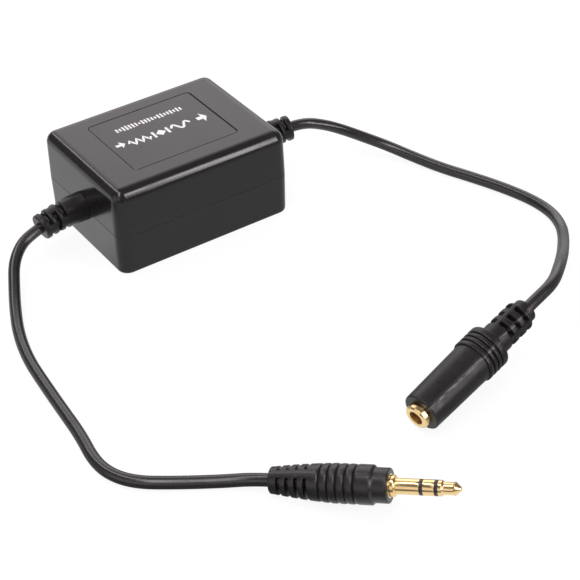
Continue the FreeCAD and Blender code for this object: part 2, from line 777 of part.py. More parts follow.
def plug_tip():
    """Gold tip: collar, waist, head and cone on a rod that runs back to its washer."""
    _, _, _, _, start = shaft_stations()
    collar = start + TIP_COLLAR_LENGTH
    head = collar + TIP_NECK_LENGTH
    end = head + TIP_CONE_LENGTH
    waist = turned([
        (start, 0),
        (start, SHAFT_RADIUS),
        (collar, SHAFT_RADIUS),
        (collar + TIP_NECK_EASE, TIP_NECK_RADIUS),
        (head - TIP_NECK_EASE, TIP_NECK_RADIUS),
        (head, TIP_HEAD_RADIUS),
        ((head + TIP_CONE_LENGTH / 2, (TIP_HEAD_RADIUS + TIP_END_RADIUS) / 2 + 0.12), (end, TIP_END_RADIUS)),
        (end, 0),
    ])
    rod = disc(ROD_RADIUS, sleeve_back() - 2 * LUG_PITCH, start)
    return fused([lug(1), rod, waist])


def plug_inner_mould():
    """Plastic moulded round the washers and tubes before the handle is moulded over it."""
    mould = disc(PLUG_MOULD_RADIUS, plug_mould_back(), sleeve_back())
    for inner in (plug_ring_insulator(), plug_ring(), plug_tip_insulator(), plug_tip()):
        mould = mould.cut(inner)
    mould = mould.cut(disc(RING_BORE_RADIUS, sleeve_back() - LUG_PITCH, sleeve_back()))
    return mould.cut(disc(ROD_RADIUS, sleeve_back() - 2 * LUG_PITCH, sleeve_back()))


# Jack

def jack_placement():
    """Where the front of the jack's barrel lies; its own +X runs back towards the cord."""
    aim = Rotation(Z_AXIS, JACK_HEADING).multiply(Rotation(Y_AXIS, -JACK_TILT))
    height = resting_height(BARREL_FRONT_RADIUS, BARREL_EDGE, JACK_TILT)
    return Placement(Vector(JACK_PLACE_X, JACK_PLACE_Y, height), aim)


def jack_length():
    """Length of the jack's handle from its front face to the cord."""
    return BARREL_LENGTH + COLLAR_LENGTH + JACK_NECK_LENGTH + JACK_END_LENGTH


def jack_handle():
    """Barrel, ringed collar and slotted neck, moulded in one round the socket."""
    collar_end = BARREL_LENGTH + COLLAR_LENGTH
    neck_end = collar_end + JACK_NECK_LENGTH
    handle = turned([
        (0, 0),
        (0, BARREL_FRONT_RADIUS - BARREL_EDGE),
        (BARREL_EDGE, BARREL_FRONT_RADIUS),
        (BARREL_LENGTH, BARREL_REAR_RADIUS),
        (BARREL_LENGTH, COLLAR_RADIUS),
        (collar_end - COLLAR_BEVEL, COLLAR_RADIUS),
        (collar_end, COLLAR_RADIUS - COLLAR_BEVEL),
        (collar_end, JACK_NECK_RADIUS),
        (neck_end - JACK_NECK_ROUNDING, JACK_NECK_RADIUS),
        (neck_end, JACK_NECK_RADIUS - JACK_NECK_ROUNDING),
        (neck_end, JACK_END_RADIUS),
        (jack_length(), JACK_END_RADIUS),
        (jack_length(), 0),
    ])
    for index in range(COLLAR_GROOVE_COUNT):
        station = BARREL_LENGTH + (index + 1) * COLLAR_GROOVE_PITCH
        handle = handle.cut(ring_groove(station, COLLAR_RADIUS, COLLAR_GROOVE_WIDTH, COLLAR_GROOVE_DEPTH))
    for index in range(JACK_SLOT_COUNT):
        station = JACK_SLOT_START + index * JACK_SLOT_PITCH
        angles = [JACK_BAR_ANGLE, JACK_BAR_ANGLE + 90]
        handle = handle.cut(slot_ring(station, JACK_SLOT_WIDTH, JACK_CORE_RADIUS, JACK_BAR_WIDTH, angles))
    socket_end = BUSHING_LENGTH + SOCKET_BODY_LENGTH
    for room in (
        disc(BUSHING_RADIUS, 0, BUSHING_LENGTH),
        disc(SOCKET_BODY_RADIUS, BUSHING_LENGTH, socket_end),
        disc(JACK_MOULD_RADIUS, socket_end, socket_end + JACK_MOULD_LENGTH),
    ):
        handle = handle.cut(room)
    return handle


def jack_bushing():
    """Gold bushing: a bevelled nose in front of the barrel and a threaded length inside it."""
    return turned([
        (-NOSE_LENGTH, MOUTH_RADIUS + MOUTH_BEVEL),
        (-NOSE_LENGTH, NOSE_RADIUS - NOSE_BEVEL),
        (NOSE_BEVEL - NOSE_LENGTH, NOSE_RADIUS),
        (0, NOSE_RADIUS),
        (0, BUSHING_RADIUS),
        (BUSHING_LENGTH, BUSHING_RADIUS),
        (BUSHING_LENGTH, MOUTH_RADIUS),
        (MOUTH_BEVEL - NOSE_LENGTH, MOUTH_RADIUS),
    ])


def contact_strip(angle, length):
    """Contact strip beside the socket's bore, with its tail in the inner mould."""
    low = BUSHING_LENGTH + CONTACT_THICKNESS
    corner = Vector(low, -CONTACT_WIDTH / 2, CONTACT_RADIUS)
    strip = Part.makeBox(length, CONTACT_WIDTH, CONTACT_THICKNESS, corner)
    strip.rotate(ORIGIN, X_AXIS, angle)
    return strip


def strip_length():
    """Length of a contact strip with its tail."""
    return SOCKET_BODY_LENGTH - CONTACT_THICKNESS + CONTACT_TAIL


CONTACT_ANGLES = {"tip": 0, "ring": 180, "ground": 90}


def jack_contact(name):
    """One of the jack's three contact strips."""
    return contact_strip(CONTACT_ANGLES[name], strip_length())


def jack_socket():
    """Insulating body behind the bushing: a blind bore with a slot for each contact strip."""
    low = BUSHING_LENGTH
    body = disc(SOCKET_BODY_RADIUS, low, low + SOCKET_BODY_LENGTH)
    body = body.cut(disc(MOUTH_RADIUS, low, low + SOCKET_DEPTH))
    for name in CONTACT_ANGLES:
        body = body.cut(jack_contact(name))
    return body


def jack_inner_mould():
    """Plastic moulded round the contact tails."""
    low = BUSHING_LENGTH + SOCKET_BODY_LENGTH
    mould = disc(JACK_MOULD_RADIUS, low, low + JACK_MOULD_LENGTH)
    for name in CONTACT_ANGLES:
        mould = mould.cut(jack_contact(name))
    return mould


# Assembly

def case_nodes():
    """The case, what it holds and the two strain reliefs."""
    nodes = {
        "case_bottom": case_bottom(),
        "case_top": case_top(),
        "label_plate": label_plate(),
        "circuit_board": circuit_board(),
        "strain_relief_in": strain_relief(IN_SIDE, RELIEF_IN_TURN),
        "strain_relief_out": strain_relief(OUT_SIDE, RELIEF_OUT_TURN),
    }
    for channel, place in transformer_places().items():
        nodes["transformer_core_" + channel] = transformer_core(*place)
        nodes["transformer_bobbin_" + channel] = transformer_bobbin(*place)
        nodes["transformer_winding_" + channel] = transformer_winding(*place)
        nodes["transformer_pins_" + channel] = transformer_pins(*place)
    for end, side in (("in", IN_SIDE), ("out", OUT_SIDE)):
        for step, line in enumerate(("left", "ground", "right")):
            nodes["wire_" + end + "_" + line] = wire(side, (1 - step) * WIRE_PITCH)
    return nodes


def plug_nodes():
    """The plug's pieces in their place."""
    pieces = {
        "plug_handle": plug_handle(),
        "plug_inner_mould": plug_inner_mould(),
        "plug_sleeve": plug_sleeve(),
        "plug_ring_insulator": plug_ring_insulator(),
        "plug_ring": plug_ring(),
        "plug_tip_insulator": plug_tip_insulator(),
        "plug_tip": plug_tip(),
    }
    return {name: placed(shape, plug_placement()) for name, shape in pieces.items()}


def jack_nodes():
    """The jack's pieces in their place."""
    pieces = {
        "jack_handle": jack_handle(),
        "jack_bushing": jack_bushing(),
        "jack_socket": jack_socket(),
        "jack_inner_mould": jack_inner_mould(),
    }
    for name in CONTACT_ANGLES:
        pieces["jack_contact_" + name] = jack_contact(name)
    return {name: placed(shape, jack_placement()) for name, shape in pieces.items()}


def placed(shape, placement):
    """Copy of a shape moved to its place."""
    moved = shape.copy()
    moved.transformShape(placement.toMatrix())
    return moved


def cord_nodes():
    """The two cords, each from its strain relief to its plug or jack."""
    plug = plug_placement()
    plug_back = plug.Rotation.multVec(X_AXIS) * -1
    jack = jack_placement()
    jack_back = jack.Rotation.multVec(X_AXIS)
    jack_end = jack.multVec(Vector(jack_length(), 0, 0))
    in_points = cord_points(
        IN_SIDE, RELIEF_IN_TURN, IN_FIRST_RUN, IN_ROUTE, IN_LAST_RUN, plug.Base, plug_back,
    )
    out_points = cord_points(
        OUT_SIDE, RELIEF_OUT_TURN, OUT_FIRST_RUN, OUT_ROUTE, OUT_LAST_RUN, jack_end, jack_back,
    )
    return {"cord_in": cord("cord_in", in_points), "cord_out": cord("cord_out", out_points)}


def main():
    """Build every node and write it to its own file."""
    os.makedirs("parts", exist_ok=True)
    nodes = {}
    for group in (case_nodes(), plug_nodes(), jack_nodes(), cord_nodes()):
        nodes.update(group)
    for name, shape in nodes.items():
        if not shape.isValid():
            raise ValueError(name + " is not a valid solid")
        shape.exportStep("parts/" + name + ".step")
    print(len(nodes), "nodes")


main()
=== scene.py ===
"""Looks of a car audio noise filter: a moulded case with a corded plug and a corded in-line jack.

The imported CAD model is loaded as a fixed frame. The rigid inner pieces keep their CAD meshes and get
procedural materials. The moulded grips, the strain reliefs and the gold turnings are rebuilt here with
rounded edges, the cords are smooth curves, and the label gets plain printed signs.
"""
from __future__ import annotations

import logging
import math
from dataclasses import dataclass, field
from enum import Enum
from typing import Iterable, Optional, Sequence, Union

import bpy
from mathutils import Matrix, Vector

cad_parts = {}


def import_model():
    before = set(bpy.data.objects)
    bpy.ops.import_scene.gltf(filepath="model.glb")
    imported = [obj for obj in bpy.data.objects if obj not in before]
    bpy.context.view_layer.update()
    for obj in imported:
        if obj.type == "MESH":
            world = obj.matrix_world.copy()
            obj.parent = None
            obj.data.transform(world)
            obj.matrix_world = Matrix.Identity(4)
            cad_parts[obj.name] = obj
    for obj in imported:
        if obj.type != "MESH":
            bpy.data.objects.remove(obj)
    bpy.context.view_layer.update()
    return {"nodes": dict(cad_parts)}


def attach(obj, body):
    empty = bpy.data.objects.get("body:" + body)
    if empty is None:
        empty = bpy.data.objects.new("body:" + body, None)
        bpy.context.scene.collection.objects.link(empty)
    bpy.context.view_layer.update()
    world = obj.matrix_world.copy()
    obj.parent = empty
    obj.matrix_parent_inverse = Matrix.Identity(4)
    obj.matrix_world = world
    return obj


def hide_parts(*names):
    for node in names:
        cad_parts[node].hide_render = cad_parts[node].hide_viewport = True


LOG = logging.getLogger("noise_filter")
MM = 0.001
BODY = "root"
Point = tuple[float, float, float]
Shape = tuple[list[Vector], list[list[int]]]
Span = tuple[float, float]
Node = bpy.types.Node
Socket = bpy.types.NodeSocket
Tree = bpy.types.NodeTree
Thing = bpy.types.Object
Value = Union[float, int, bool, Sequence[float], Socket, bpy.types.Material]
Inputs = dict[Union[str, int], Value]
Pieces = list[Union[Thing, str]]


class End(Enum):
    """The two ends of the case, by the side that they are on."""

    IN = -1
    OUT = 1


class Outline(Enum):
    """How a turned outline closes."""

    ON_AXIS = "on axis"
    RING = "ring"


class Sign(Enum):
    """Plain signs printed on the label."""

    ARROW = "arrow"
    ZIGZAG = "zigzag"
    DIAMOND = "diamond"
    SMOOTH_WAVE = "smooth wave"


# Node trees


@dataclass
class NodeBench:
    """Adds nodes to one tree and links them."""

    tree: Tree

    def add(self, kind: str, inputs: Optional[Inputs] = None, **settings: object) -> Node:
        """Adds one node.

        Args:
            kind: Blender's name of the node type.
            inputs: Input name or index to a constant, or to the socket that feeds it.
            settings: Properties of the node itself.

        Returns:
            The new node.
        """
        node = self.tree.nodes.new(kind)
        for name, value in settings.items():
            setattr(node, name, value)
        for key, value in (inputs or {}).items():
            self.feed(node.inputs[key], value)
        return node

    def feed(self, socket: Socket, value: Value) -> None:
        """Links a socket to another, or sets it to a constant.

        Args:
            socket: The input to feed.
            value: The output that feeds it, or a constant.
        """
        if isinstance(value, Socket):
            self.tree.links.new(value, socket)
        else:
            socket.default_value = value

    def maths(self, operation: str, first: Value, second: Value = 0.0) -> Socket:
        """Adds a Math node, in a shader or a geometry tree."""
        return self.add("ShaderNodeMath", {0: first, 1: second}, operation=operation).outputs[0]

    def dot(self, first: Value, second: Value) -> Socket:
        """Adds the dot product of two directions."""
        node = self.add("ShaderNodeVectorMath", {0: first, 1: second}, operation="DOT_PRODUCT")
        return node.outputs["Value"]

    def metric(self, place: Value) -> Socket:
        """Turns a place in metres into millimetres."""
        inputs: Inputs = {0: place, "Scale": 1 / MM}
        return self.add("ShaderNodeVectorMath", inputs, operation="SCALE").outputs[0]

    def noise(
        self, place: Value, scale: Value, detail: float, distortion: float = 0.0
    ) -> Socket:
        """Adds a noise texture, with so many octaves and stirred by the distortion."""
        inputs = {"Vector": place, "Scale": scale, "Detail": detail, "Distortion": distortion}
        return self.add("ShaderNodeTexNoise", inputs).outputs[0]

    def ramp(self, value: Value, start: float, end: float) -> Socket:
        """Turns a value into a mask that is 0 at the start and 1 at the end."""
        inputs = {"Value": value, "From Min": start, "From Max": end}
        return self.add("ShaderNodeMapRange", inputs).outputs["Result"]

    def spread(self, value: Value, low: float, high: float) -> Socket:
        """Maps a mask of 0 to 1 to the range from low to high."""
        inputs = {"Value": value, "To Min": low, "To Max": high}
        return self.add("ShaderNodeMapRange", inputs).outputs["Result"]

    def rise(
        self, value: Value, start: float, end: float, low: Value, high: Value
    ) -> Socket:
        """Eases from low to high while a value goes from the start to the end."""
        inputs = {"Value": value, "From Min": start, "From Max": end, "To Min": low, "To Max": high}
        return self.add("ShaderNodeMapRange", inputs, interpolation_type="SMOOTHSTEP").outputs["Result"]

    def blend(self, mask: Value, first: Value, second: Value) -> Socket:
        """Mixes two colours, the second as far as the mask is 1."""
        return self.add("ShaderNodeMix", {0: mask, 6: first, 7: second}, data_type="RGBA").outputs[2]

    def even(self, mask: Value, first: Value, second: Value) -> Socket:
        """Mixes two values, the second as far as the mask is 1."""
        return self.add("ShaderNodeMix", {0: mask, 2: first, 3: second}).outputs[0]


def new_group(
    name: str, kind: str, inputs: dict[str, str], outputs: dict[str, str]
) -> tuple[NodeBench, Node, Node]:
    """Starts a node group with named sockets.

    Args:
        name: The group's name.
        kind: Blender's name of the tree type.
        inputs: Label of each input to the kind of its socket.
        outputs: Label of each output to the kind of its socket.

    Returns:
        Its bench, the node with its inputs and the node with its outputs.
    """
    tree = bpy.data.node_groups.new(name, kind)
    for way, sockets in (("INPUT", inputs), ("OUTPUT", outputs)):
        for label, socket in sockets.items():
            tree.interface.new_socket(label, in_out=way, socket_type=f"NodeSocket{socket}")
    bench = NodeBench(tree)
    return bench, bench.add("NodeGroupInput"), bench.add("NodeGroupOutput")


def new_material(name: str) -> tuple[bpy.types.Material, NodeBench, Socket]:
    """Starts an empty material.

    Args:
        name: The material's name.

    Returns:
        The material, its bench and the input that its surface goes to.
    """
    material = bpy.data.materials.new(name)
    material.use_nodes = True
    material.node_tree.nodes.clear()
    bench = NodeBench(material.node_tree)
    return material, bench, bench.add("ShaderNodeOutputMaterial").inputs["Surface"]


@dataclass(frozen=True)
class SharedEffects:
    """Shader node groups that several finishes use, with the ranges that their masks are cut at."""

    smudge_edge: Span = (0.45, 0.7)
    rub_turn: Point = (0.3, 0.2, 0.7)
    rub_stretch: Point = (0.12, 2.4, 2.4)
    rub_scale: float = 1.6
    rub_edge: Span = (0.66, 0.72)
    dust_scale: float = 0.55
    dust_edge: Span = (0.055, 0.03)

    def grain(self) -> Tree:
        """Fine moulded grain over slow unevenness.

        Returns:
            A group with inputs Vector, Fine, Broad and Balance, and outputs Height and Cloud.
        """
        name = "moulded_grain"
        if name in bpy.data.node_groups:
            return bpy.data.node_groups[name]
        bench, outer, inner = new_group(
            name,
            "ShaderNodeTree",
            {"Vector": "Vector", "Fine": "Float", "Broad": "Float", "Balance": "Float"},
            {"Height": "Float", "Cloud": "Float"},
        )
        place = bench.metric(outer.outputs["Vector"])
        fine = bench.noise(place, outer.outputs["Fine"], 3.0)
        broad = bench.noise(place, outer.outputs["Broad"], 1.0)
        bench.feed(inner.inputs["Height"], bench.even(outer.outputs["Balance"], fine, broad))
        bench.feed(inner.inputs["Cloud"], broad)
        return bench.tree

    def handling(self) -> Tree:
        """Smudges, hairline rubs and dust from handling.

        Returns:
            A group with inputs Vector and Size, and outputs Smudge, Rub and Dust.
        """
        name = "handling_marks"
        if name in bpy.data.node_groups:
            return bpy.data.node_groups[name]
        bench, outer, inner = new_group(
            name,
            "ShaderNodeTree",
            {"Vector": "Vector", "Size": "Float"},
            {"Smudge": "Float", "Rub": "Float", "Dust": "Float"},
        )
        place = bench.metric(outer.outputs["Vector"])
        cloud = bench.noise(place, outer.outputs["Size"], 4.0, 0.6)
        stretched = bench.add(
            "ShaderNodeMapping",
            {"Vector": place, "Rotation": self.rub_turn, "Scale": self.rub_stretch},
        )
        lines = bench.noise(stretched.outputs[0], self.rub_scale, 2.0)
        cells = bench.add("ShaderNodeTexVoronoi", {"Vector": place, "Scale": self.dust_scale})
        bench.feed(inner.inputs["Smudge"], bench.ramp(cloud, *self.smudge_edge))
        bench.feed(inner.inputs["Rub"], bench.ramp(lines, *self.rub_edge))
        bench.feed(inner.inputs["Dust"], bench.ramp(cells.outputs["Distance"], *self.dust_edge))
        return bench.tree


EFFECTS = SharedEffects()


# Finishes


@dataclass
class FinishBench(NodeBench):
    """The bench of one finish, with its shader and its Object coordinates."""

    shader: Node
    place: Socket

    def grain(self, fine: float, broad: float, balance: float) -> Node:
        """Places the moulded grain."""
        inputs = {"Vector": self.place, "Fine": fine, "Broad": broad, "Balance": balance}
        return self.add("ShaderNodeGroup", inputs, node_tree=EFFECTS.grain())

    def marks(self, size: float) -> Node:
        """Places the marks of handling."""
        inputs = {"Vector": self.place, "Size": size}
        return self.add("ShaderNodeGroup", inputs, node_tree=EFFECTS.handling())

    def wear(self, marks: Node, roughness: Span) -> Socket:
        """Gives the roughness, from where it is clean to where it was handled."""
        handled = self.maths("MAXIMUM", marks.outputs["Smudge"], marks.outputs["Rub"])
        return self.spread(handled, *roughness)

    def show(self, colour: Value, roughness: Value) -> None:
        """Feeds the shader its colour and roughness."""
        self.feed(self.shader.inputs["Base Color"], colour)
        self.feed(self.shader.inputs["Roughness"], roughness)

    def bump(self, height: Value, strength: float, relief: float) -> None:
        """Gives the shader a relief, whose depth is in millimetres."""
        inputs = {"Height": height, "Strength": strength, "Distance": relief * MM}
        self.feed(self.shader.inputs["Normal"], self.add("ShaderNodeBump", inputs).outputs[0])


@dataclass(frozen=True)
class Finish:
    """A procedural finish on Object coordinates."""

    name: str

    def material(self) -> bpy.types.Material:
        """Builds the material.

        Returns:
            A material with one Principled shader.
        """
        material, bench, surface = new_material(self.name)
        shader = bench.add("ShaderNodeBsdfPrincipled")
        bench.feed(surface, shader.outputs[0])
        place = bench.add("ShaderNodeTexCoord").outputs["Object"]
        self.dress(FinishBench(bench.tree, shader, place))
        return material

    def dress(self, bench: FinishBench) -> None:
        """Builds what the shader shows, in each finish's own way."""
        raise NotImplementedError


@dataclass(frozen=True)
class SeamAndShadeLine:
    """A dark hairline across a finish, without shine: a mould seam, or painted shade along the edge of a
    part.
    """

    axis: str
    middle: float
    reach: float
    depth: float


@dataclass(frozen=True)
class ScratchesAndHighlight:
    """A narrow band of fine scratches that runs along a piece, paler than the piece: partly real
    scratches and partly a painted highlight, laid where a light's reflection falls.
    """

    origin: Point
    along: Point
    across: Point
    reach: float
    colour: Point
    core: float = 0.25
    scale_along: float = 0.4
    scale_across: float = 3.2
    gaps: Span = (0.42, 0.62)

    def mask(self, bench: FinishBench) -> Socket:
        """Adds the mask of the scratches and of their painted highlight.

        Args:
            bench: The finish's bench.

        Returns:
            The mask's socket.
        """
        start = tuple(-value * MM for value in self.origin)
        moved = bench.add("ShaderNodeVectorMath", {0: bench.place, 1: start}, operation="ADD")
        lengthwise = bench.dot(moved.outputs[0], self.along)
        crosswise = bench.dot(moved.outputs[0], self.across)
        away = bench.maths("ABSOLUTE", crosswise)
        band = bench.rise(away, self.reach * MM, self.core * self.reach * MM, 0.0, 1.0)
        spot = bench.add(
            "ShaderNodeCombineXYZ",
            {
                "X": bench.maths("MULTIPLY", lengthwise, self.scale_along / MM),
                "Y": bench.maths("MULTIPLY", crosswise, self.scale_across / MM),
            },
        )
        lines = bench.noise(spot.outputs[0], 1.0, 3.0, 0.5)
        return bench.maths("MULTIPLY", band, bench.rise(lines, *self.gaps, 0.0, 1.0))


@dataclass(frozen=True)
class MouldedFinish(Finish):
    """Moulded plastic, vinyl or rubber."""

    colour: Point
    worn: Point
    roughness: Span
    fine: float = 6.0
    broad: float = 0.12
    balance: float = 0.5
    relief: float = 0.02
    smudge_size: float = 0.12
    dusty: float = 0.15
    specular: float = 0.5
    seams_and_shade_lines: tuple[SeamAndShadeLine, ...] = ()
    scratches_and_highlight: Optional[ScratchesAndHighlight] = None
    cloud_share: float = 0.5
    dust_colour: Point = (0.5, 0.49, 0.47)
    seam_and_shade_colour: Point = (0.003, 0.003, 0.003)

    def seam_and_shade_mask(self, bench: FinishBench) -> Socket:
        """Adds the mask of the seams and of the painted shade lines.

        Args:
            bench: The finish's bench.

        Returns:
            The mask's socket.
        """
        split = bench.add("ShaderNodeSeparateXYZ", {0: bench.place})
        mask: Value = 0.0
        for seam in self.seams_and_shade_lines:
            away = bench.maths("SUBTRACT", split.outputs[seam.axis], seam.middle * MM)
            near = bench.maths("LESS_THAN", bench.maths("ABSOLUTE", away), seam.reach * MM)
            mask = bench.maths("MAXIMUM", mask, bench.maths("MULTIPLY", near, seam.depth))
        return mask

    def dress(self, bench: FinishBench) -> None:
        """Builds tint, dust, the scratch band with its painted highlight, the seams and painted shade
        lines, wear in the roughness, and the grain's relief.

        Args:
            bench: The finish's bench.
        """
        grain = bench.grain(self.fine, self.broad, self.balance)
        marks = bench.marks(self.smudge_size)
        cloud = bench.maths("MULTIPLY", grain.outputs["Cloud"], self.cloud_share)
        colour = bench.blend(cloud, (*self.colour, 1), (*self.worn, 1))
        dust = bench.maths("MULTIPLY", marks.outputs["Dust"], self.dusty)
        colour = bench.blend(dust, colour, (*self.dust_colour, 1))
        roughness = bench.wear(marks, self.roughness)
        # Painted highlight: the pale colour of the scratch band, which is partly real scratches.
        if self.scratches_and_highlight:
            colour = bench.blend(self.scratches_and_highlight.mask(bench), colour, (*self.scratches_and_highlight.colour, 1))
        # Dark mould seams, and painted shade lines along the edges of a part.
        if self.seams_and_shade_lines:
            seams_and_shade_lines = self.seam_and_shade_mask(bench)
            colour = bench.blend(seams_and_shade_lines, colour, (*self.seam_and_shade_colour, 1))
            roughness = bench.maths("MAXIMUM", roughness, seams_and_shade_lines)
        bench.show(colour, roughness)
        bench.shader.inputs["Specular IOR Level"].default_value = self.specular
        bench.bump(grain.outputs["Height"], 1.0, self.relief)


@dataclass(frozen=True)
class MetalFinish(Finish):
    """Plated, tinned or bare metal."""

    colour: Point
    shade: Point
    roughness: Span
    fine: float = 3.0
    relief: float = 0.002
    broad: float = 0.4
    balance: float = 0.3
    smudge_size: float = 0.6
    bump_share: float = 0.6

    def dress(self, bench: FinishBench) -> None:
        """Builds a clouded tint, wear in the roughness and a fine relief.

        Args:
            bench: The finish's bench.
        """
        grain = bench.grain(self.fine, self.broad, self.balance)
        marks = bench.marks(self.smudge_size)
        tint = bench.blend(grain.outputs["Cloud"], (*self.colour, 1), (*self.shade, 1))
        bench.show(tint, bench.wear(marks, self.roughness))
        bench.bump(grain.outputs["Height"], self.bump_share, self.relief)
        bench.shader.inputs["Metallic"].default_value = 1.0


@dataclass(frozen=True)
class SheetStackFinish(Finish):
    """Stacked steel sheets, seen on their edges."""

    colour: Point
    gap: Point
    sheet: float = 0.5
    gap_share: float = 0.12
    grain: Point = (5.0, 0.5, 0.4)
    roughness: Span = (0.3, 0.6)
    relief: float = 0.05
    bump_share: float = 0.4
    metallic: float = 0.9

    def dress(self, bench: FinishBench) -> None:
        """Builds one stripe for each sheet.

        Args:
            bench: The finish's bench.
        """
        depth = bench.add("ShaderNodeSeparateXYZ", {0: bench.place}).outputs["Y"]
        phase = bench.maths("FRACT", bench.maths("MULTIPLY", depth, 1 / (self.sheet * MM)))
        stripe = bench.maths("LESS_THAN", phase, self.gap_share)
        cloud = bench.grain(*self.grain).outputs["Cloud"]
        tint = bench.blend(stripe, (*self.colour, 1), (*self.gap, 1))
        bench.show(tint, bench.spread(cloud, *self.roughness))
        bench.bump(phase, self.bump_share, self.relief)
        bench.shader.inputs["Metallic"].default_value = self.metallic


@dataclass(frozen=True)
class BoardFinish(Finish):
    """Solder mask over copper tracks."""

    mask: Point
    track: Point
    pitch: float = 2.4
    track_width: float = 0.25
    grain: Point = (8.0, 0.3, 0.5)
    roughness: Span = (0.25, 0.4)
    relief: float = 0.03
    bump_share: float = 0.5

    def dress(self, bench: FinishBench) -> None:
        """Builds tracks that show through the mask.

        Args:
            bench: The finish's bench.
        """
        black, white = (0, 0, 0, 1), (1, 1, 1, 1)
        sizes = {"Mortar Size": self.track_width, "Brick Width": self.pitch * 3, "Row Height": self.pitch}
        colours = {"Color1": black, "Color2": black, "Mortar": white}
        inputs = {"Vector": bench.metric(bench.place), "Scale": 1.0, **sizes, **colours}
        tracks = bench.add("ShaderNodeTexBrick", inputs).outputs["Fac"]
        cloud = bench.grain(*self.grain).outputs["Cloud"]
        tint = bench.blend(tracks, (*self.mask, 1), (*self.track, 1))
        bench.show(tint, bench.spread(cloud, *self.roughness))
        bench.bump(tracks, self.bump_share, self.relief)


CASE_GLOSS = MouldedFinish(
    "case_gloss",
    colour=(0.0105, 0.0095, 0.01),
    worn=(0.014, 0.0128, 0.0134),
    roughness=(0.16, 0.24),
    fine=2.2,
    broad=0.06,
    balance=0.72,
    relief=0.016,
    smudge_size=0.09,
    dusty=0.1,
    seams_and_shade_lines=(SeamAndShadeLine("Z", middle=11.5, reach=0.1, depth=0.6),),
)
LABEL_FILM = MouldedFinish(
    "label_film",
    colour=(0.0105, 0.0095, 0.01),
    worn=(0.0135, 0.0125, 0.013),
    roughness=(0.2, 0.28),
    fine=3.0,
    broad=0.09,
    balance=0.6,
    relief=0.02,
    dusty=0.12,
    # Painted shade: dark lines along the label's near, OUT and IN edges stand in for the shadow in the
    # gap at its recess.
    seams_and_shade_lines=(
        SeamAndShadeLine("Y", middle=-12.15, reach=0.2, depth=0.9),
        SeamAndShadeLine("X", middle=15.4, reach=0.2, depth=0.7),
        SeamAndShadeLine("X", middle=-15.4, reach=0.12, depth=0.6),
    ),
)
PRINT_INK = MouldedFinish(
    "print_ink",
    colour=(0.8, 0.8, 0.8),
    worn=(0.68, 0.68, 0.68),
    roughness=(0.45, 0.6),
    fine=9.0,
    relief=0.003,
    dusty=0.0,
)
CORD_VINYL = MouldedFinish(
    "cord_vinyl",
    colour=(0.0135, 0.0128, 0.0132),
    worn=(0.02, 0.0188, 0.0195),
    roughness=(0.23, 0.31),
    fine=5.0,
    broad=0.25,
    relief=0.01,
    dusty=0.2,
    specular=0.68,
)
GRIP_VINYL = MouldedFinish(
    "grip_vinyl",
    colour=(0.0115, 0.0108, 0.0112),
    worn=(0.018, 0.0168, 0.0175),
    roughness=(0.3, 0.42),
    fine=4.0,
    broad=0.3,
    relief=0.02,
    dusty=0.25,
    specular=0.36,
)
PLUG_VINYL = MouldedFinish(
    "plug_vinyl",
    colour=(0.0125, 0.0115, 0.012),
    worn=(0.021, 0.0195, 0.0202),
    roughness=(0.29, 0.38),
    fine=4.0,
    broad=0.3,
    relief=0.024,
    dusty=0.3,
    specular=0.45,
)
BARREL_VINYL = MouldedFinish(
    "barrel_vinyl",
    colour=(0.0125, 0.0115, 0.012),
    worn=(0.019, 0.0175, 0.0182),
    roughness=(0.36, 0.26),
    fine=2.6,
    broad=0.3,
    balance=0.4,
    relief=0.02,
    smudge_size=0.45,
    dusty=0.3,
    specular=0.32,
    # Partly real scratches and partly a painted highlight: a pale band along the barrel's lower side,
    # where the front light's reflection falls.
    scratches_and_highlight=ScratchesAndHighlight(
        origin=(0.22, -109.79, 4.61),
        along=(0.958, 0.198, 0.208),
        across=(0.287, -0.686, -0.669),
        reach=0.55,
        colour=(0.15, 0.132, 0.13),
    ),
)
BLACK_RINGS = MouldedFinish(
    "black_rings", (0.02, 0.019, 0.018), (0.03, 0.028, 0.027), (0.3, 0.4), relief=0.004
)
PALE_MOULD = MouldedFinish("pale_mould", (0.66, 0.64, 0.57), (0.55, 0.52, 0.45), (0.45, 0.6))
BOBBIN_NYLON = MouldedFinish("bobbin_nylon", (0.76, 0.74, 0.66), (0.66, 0.63, 0.55), (0.4, 0.55))
WIRE_WHITE = MouldedFinish("wire_white", (0.78, 0.78, 0.76), (0.66, 0.65, 0.62), (0.4, 0.5))
WIRE_RED = MouldedFinish("wire_red", (0.55, 0.025, 0.025), (0.42, 0.02, 0.02), (0.4, 0.5))
WIRE_BLACK = MouldedFinish("wire_black", (0.02, 0.02, 0.021), (0.03, 0.03, 0.03), (0.4, 0.5))
GOLD_PLATE = MetalFinish("gold_plate", (0.9, 0.64, 0.29), (0.95, 0.72, 0.38), (0.15, 0.24))
GOLD_BORE = MetalFinish(
    "gold_bore", (0.86, 0.58, 0.24), (0.7, 0.42, 0.15), (0.5, 0.6), fine=1.6, relief=0.03
)
SPRING_BRASS = MetalFinish("spring_brass", (0.78, 0.6, 0.28), (0.7, 0.52, 0.22), (0.2, 0.35))
TINNED = MetalFinish("tinned", (0.7, 0.7, 0.68), (0.6, 0.6, 0.58), (0.25, 0.45), relief=0.01)
ENAMEL_WIRE = MetalFinish("enamel_wire", (0.7, 0.3, 0.12), (0.6, 0.22, 0.08), (0.2, 0.3))
CORE_SHEETS = SheetStackFinish("core_sheets", (0.32, 0.32, 0.33), (0.05, 0.045, 0.04))
SOLDER_MASK = BoardFinish("solder_mask", (0.015, 0.12, 0.045), (0.03, 0.24, 0.08))


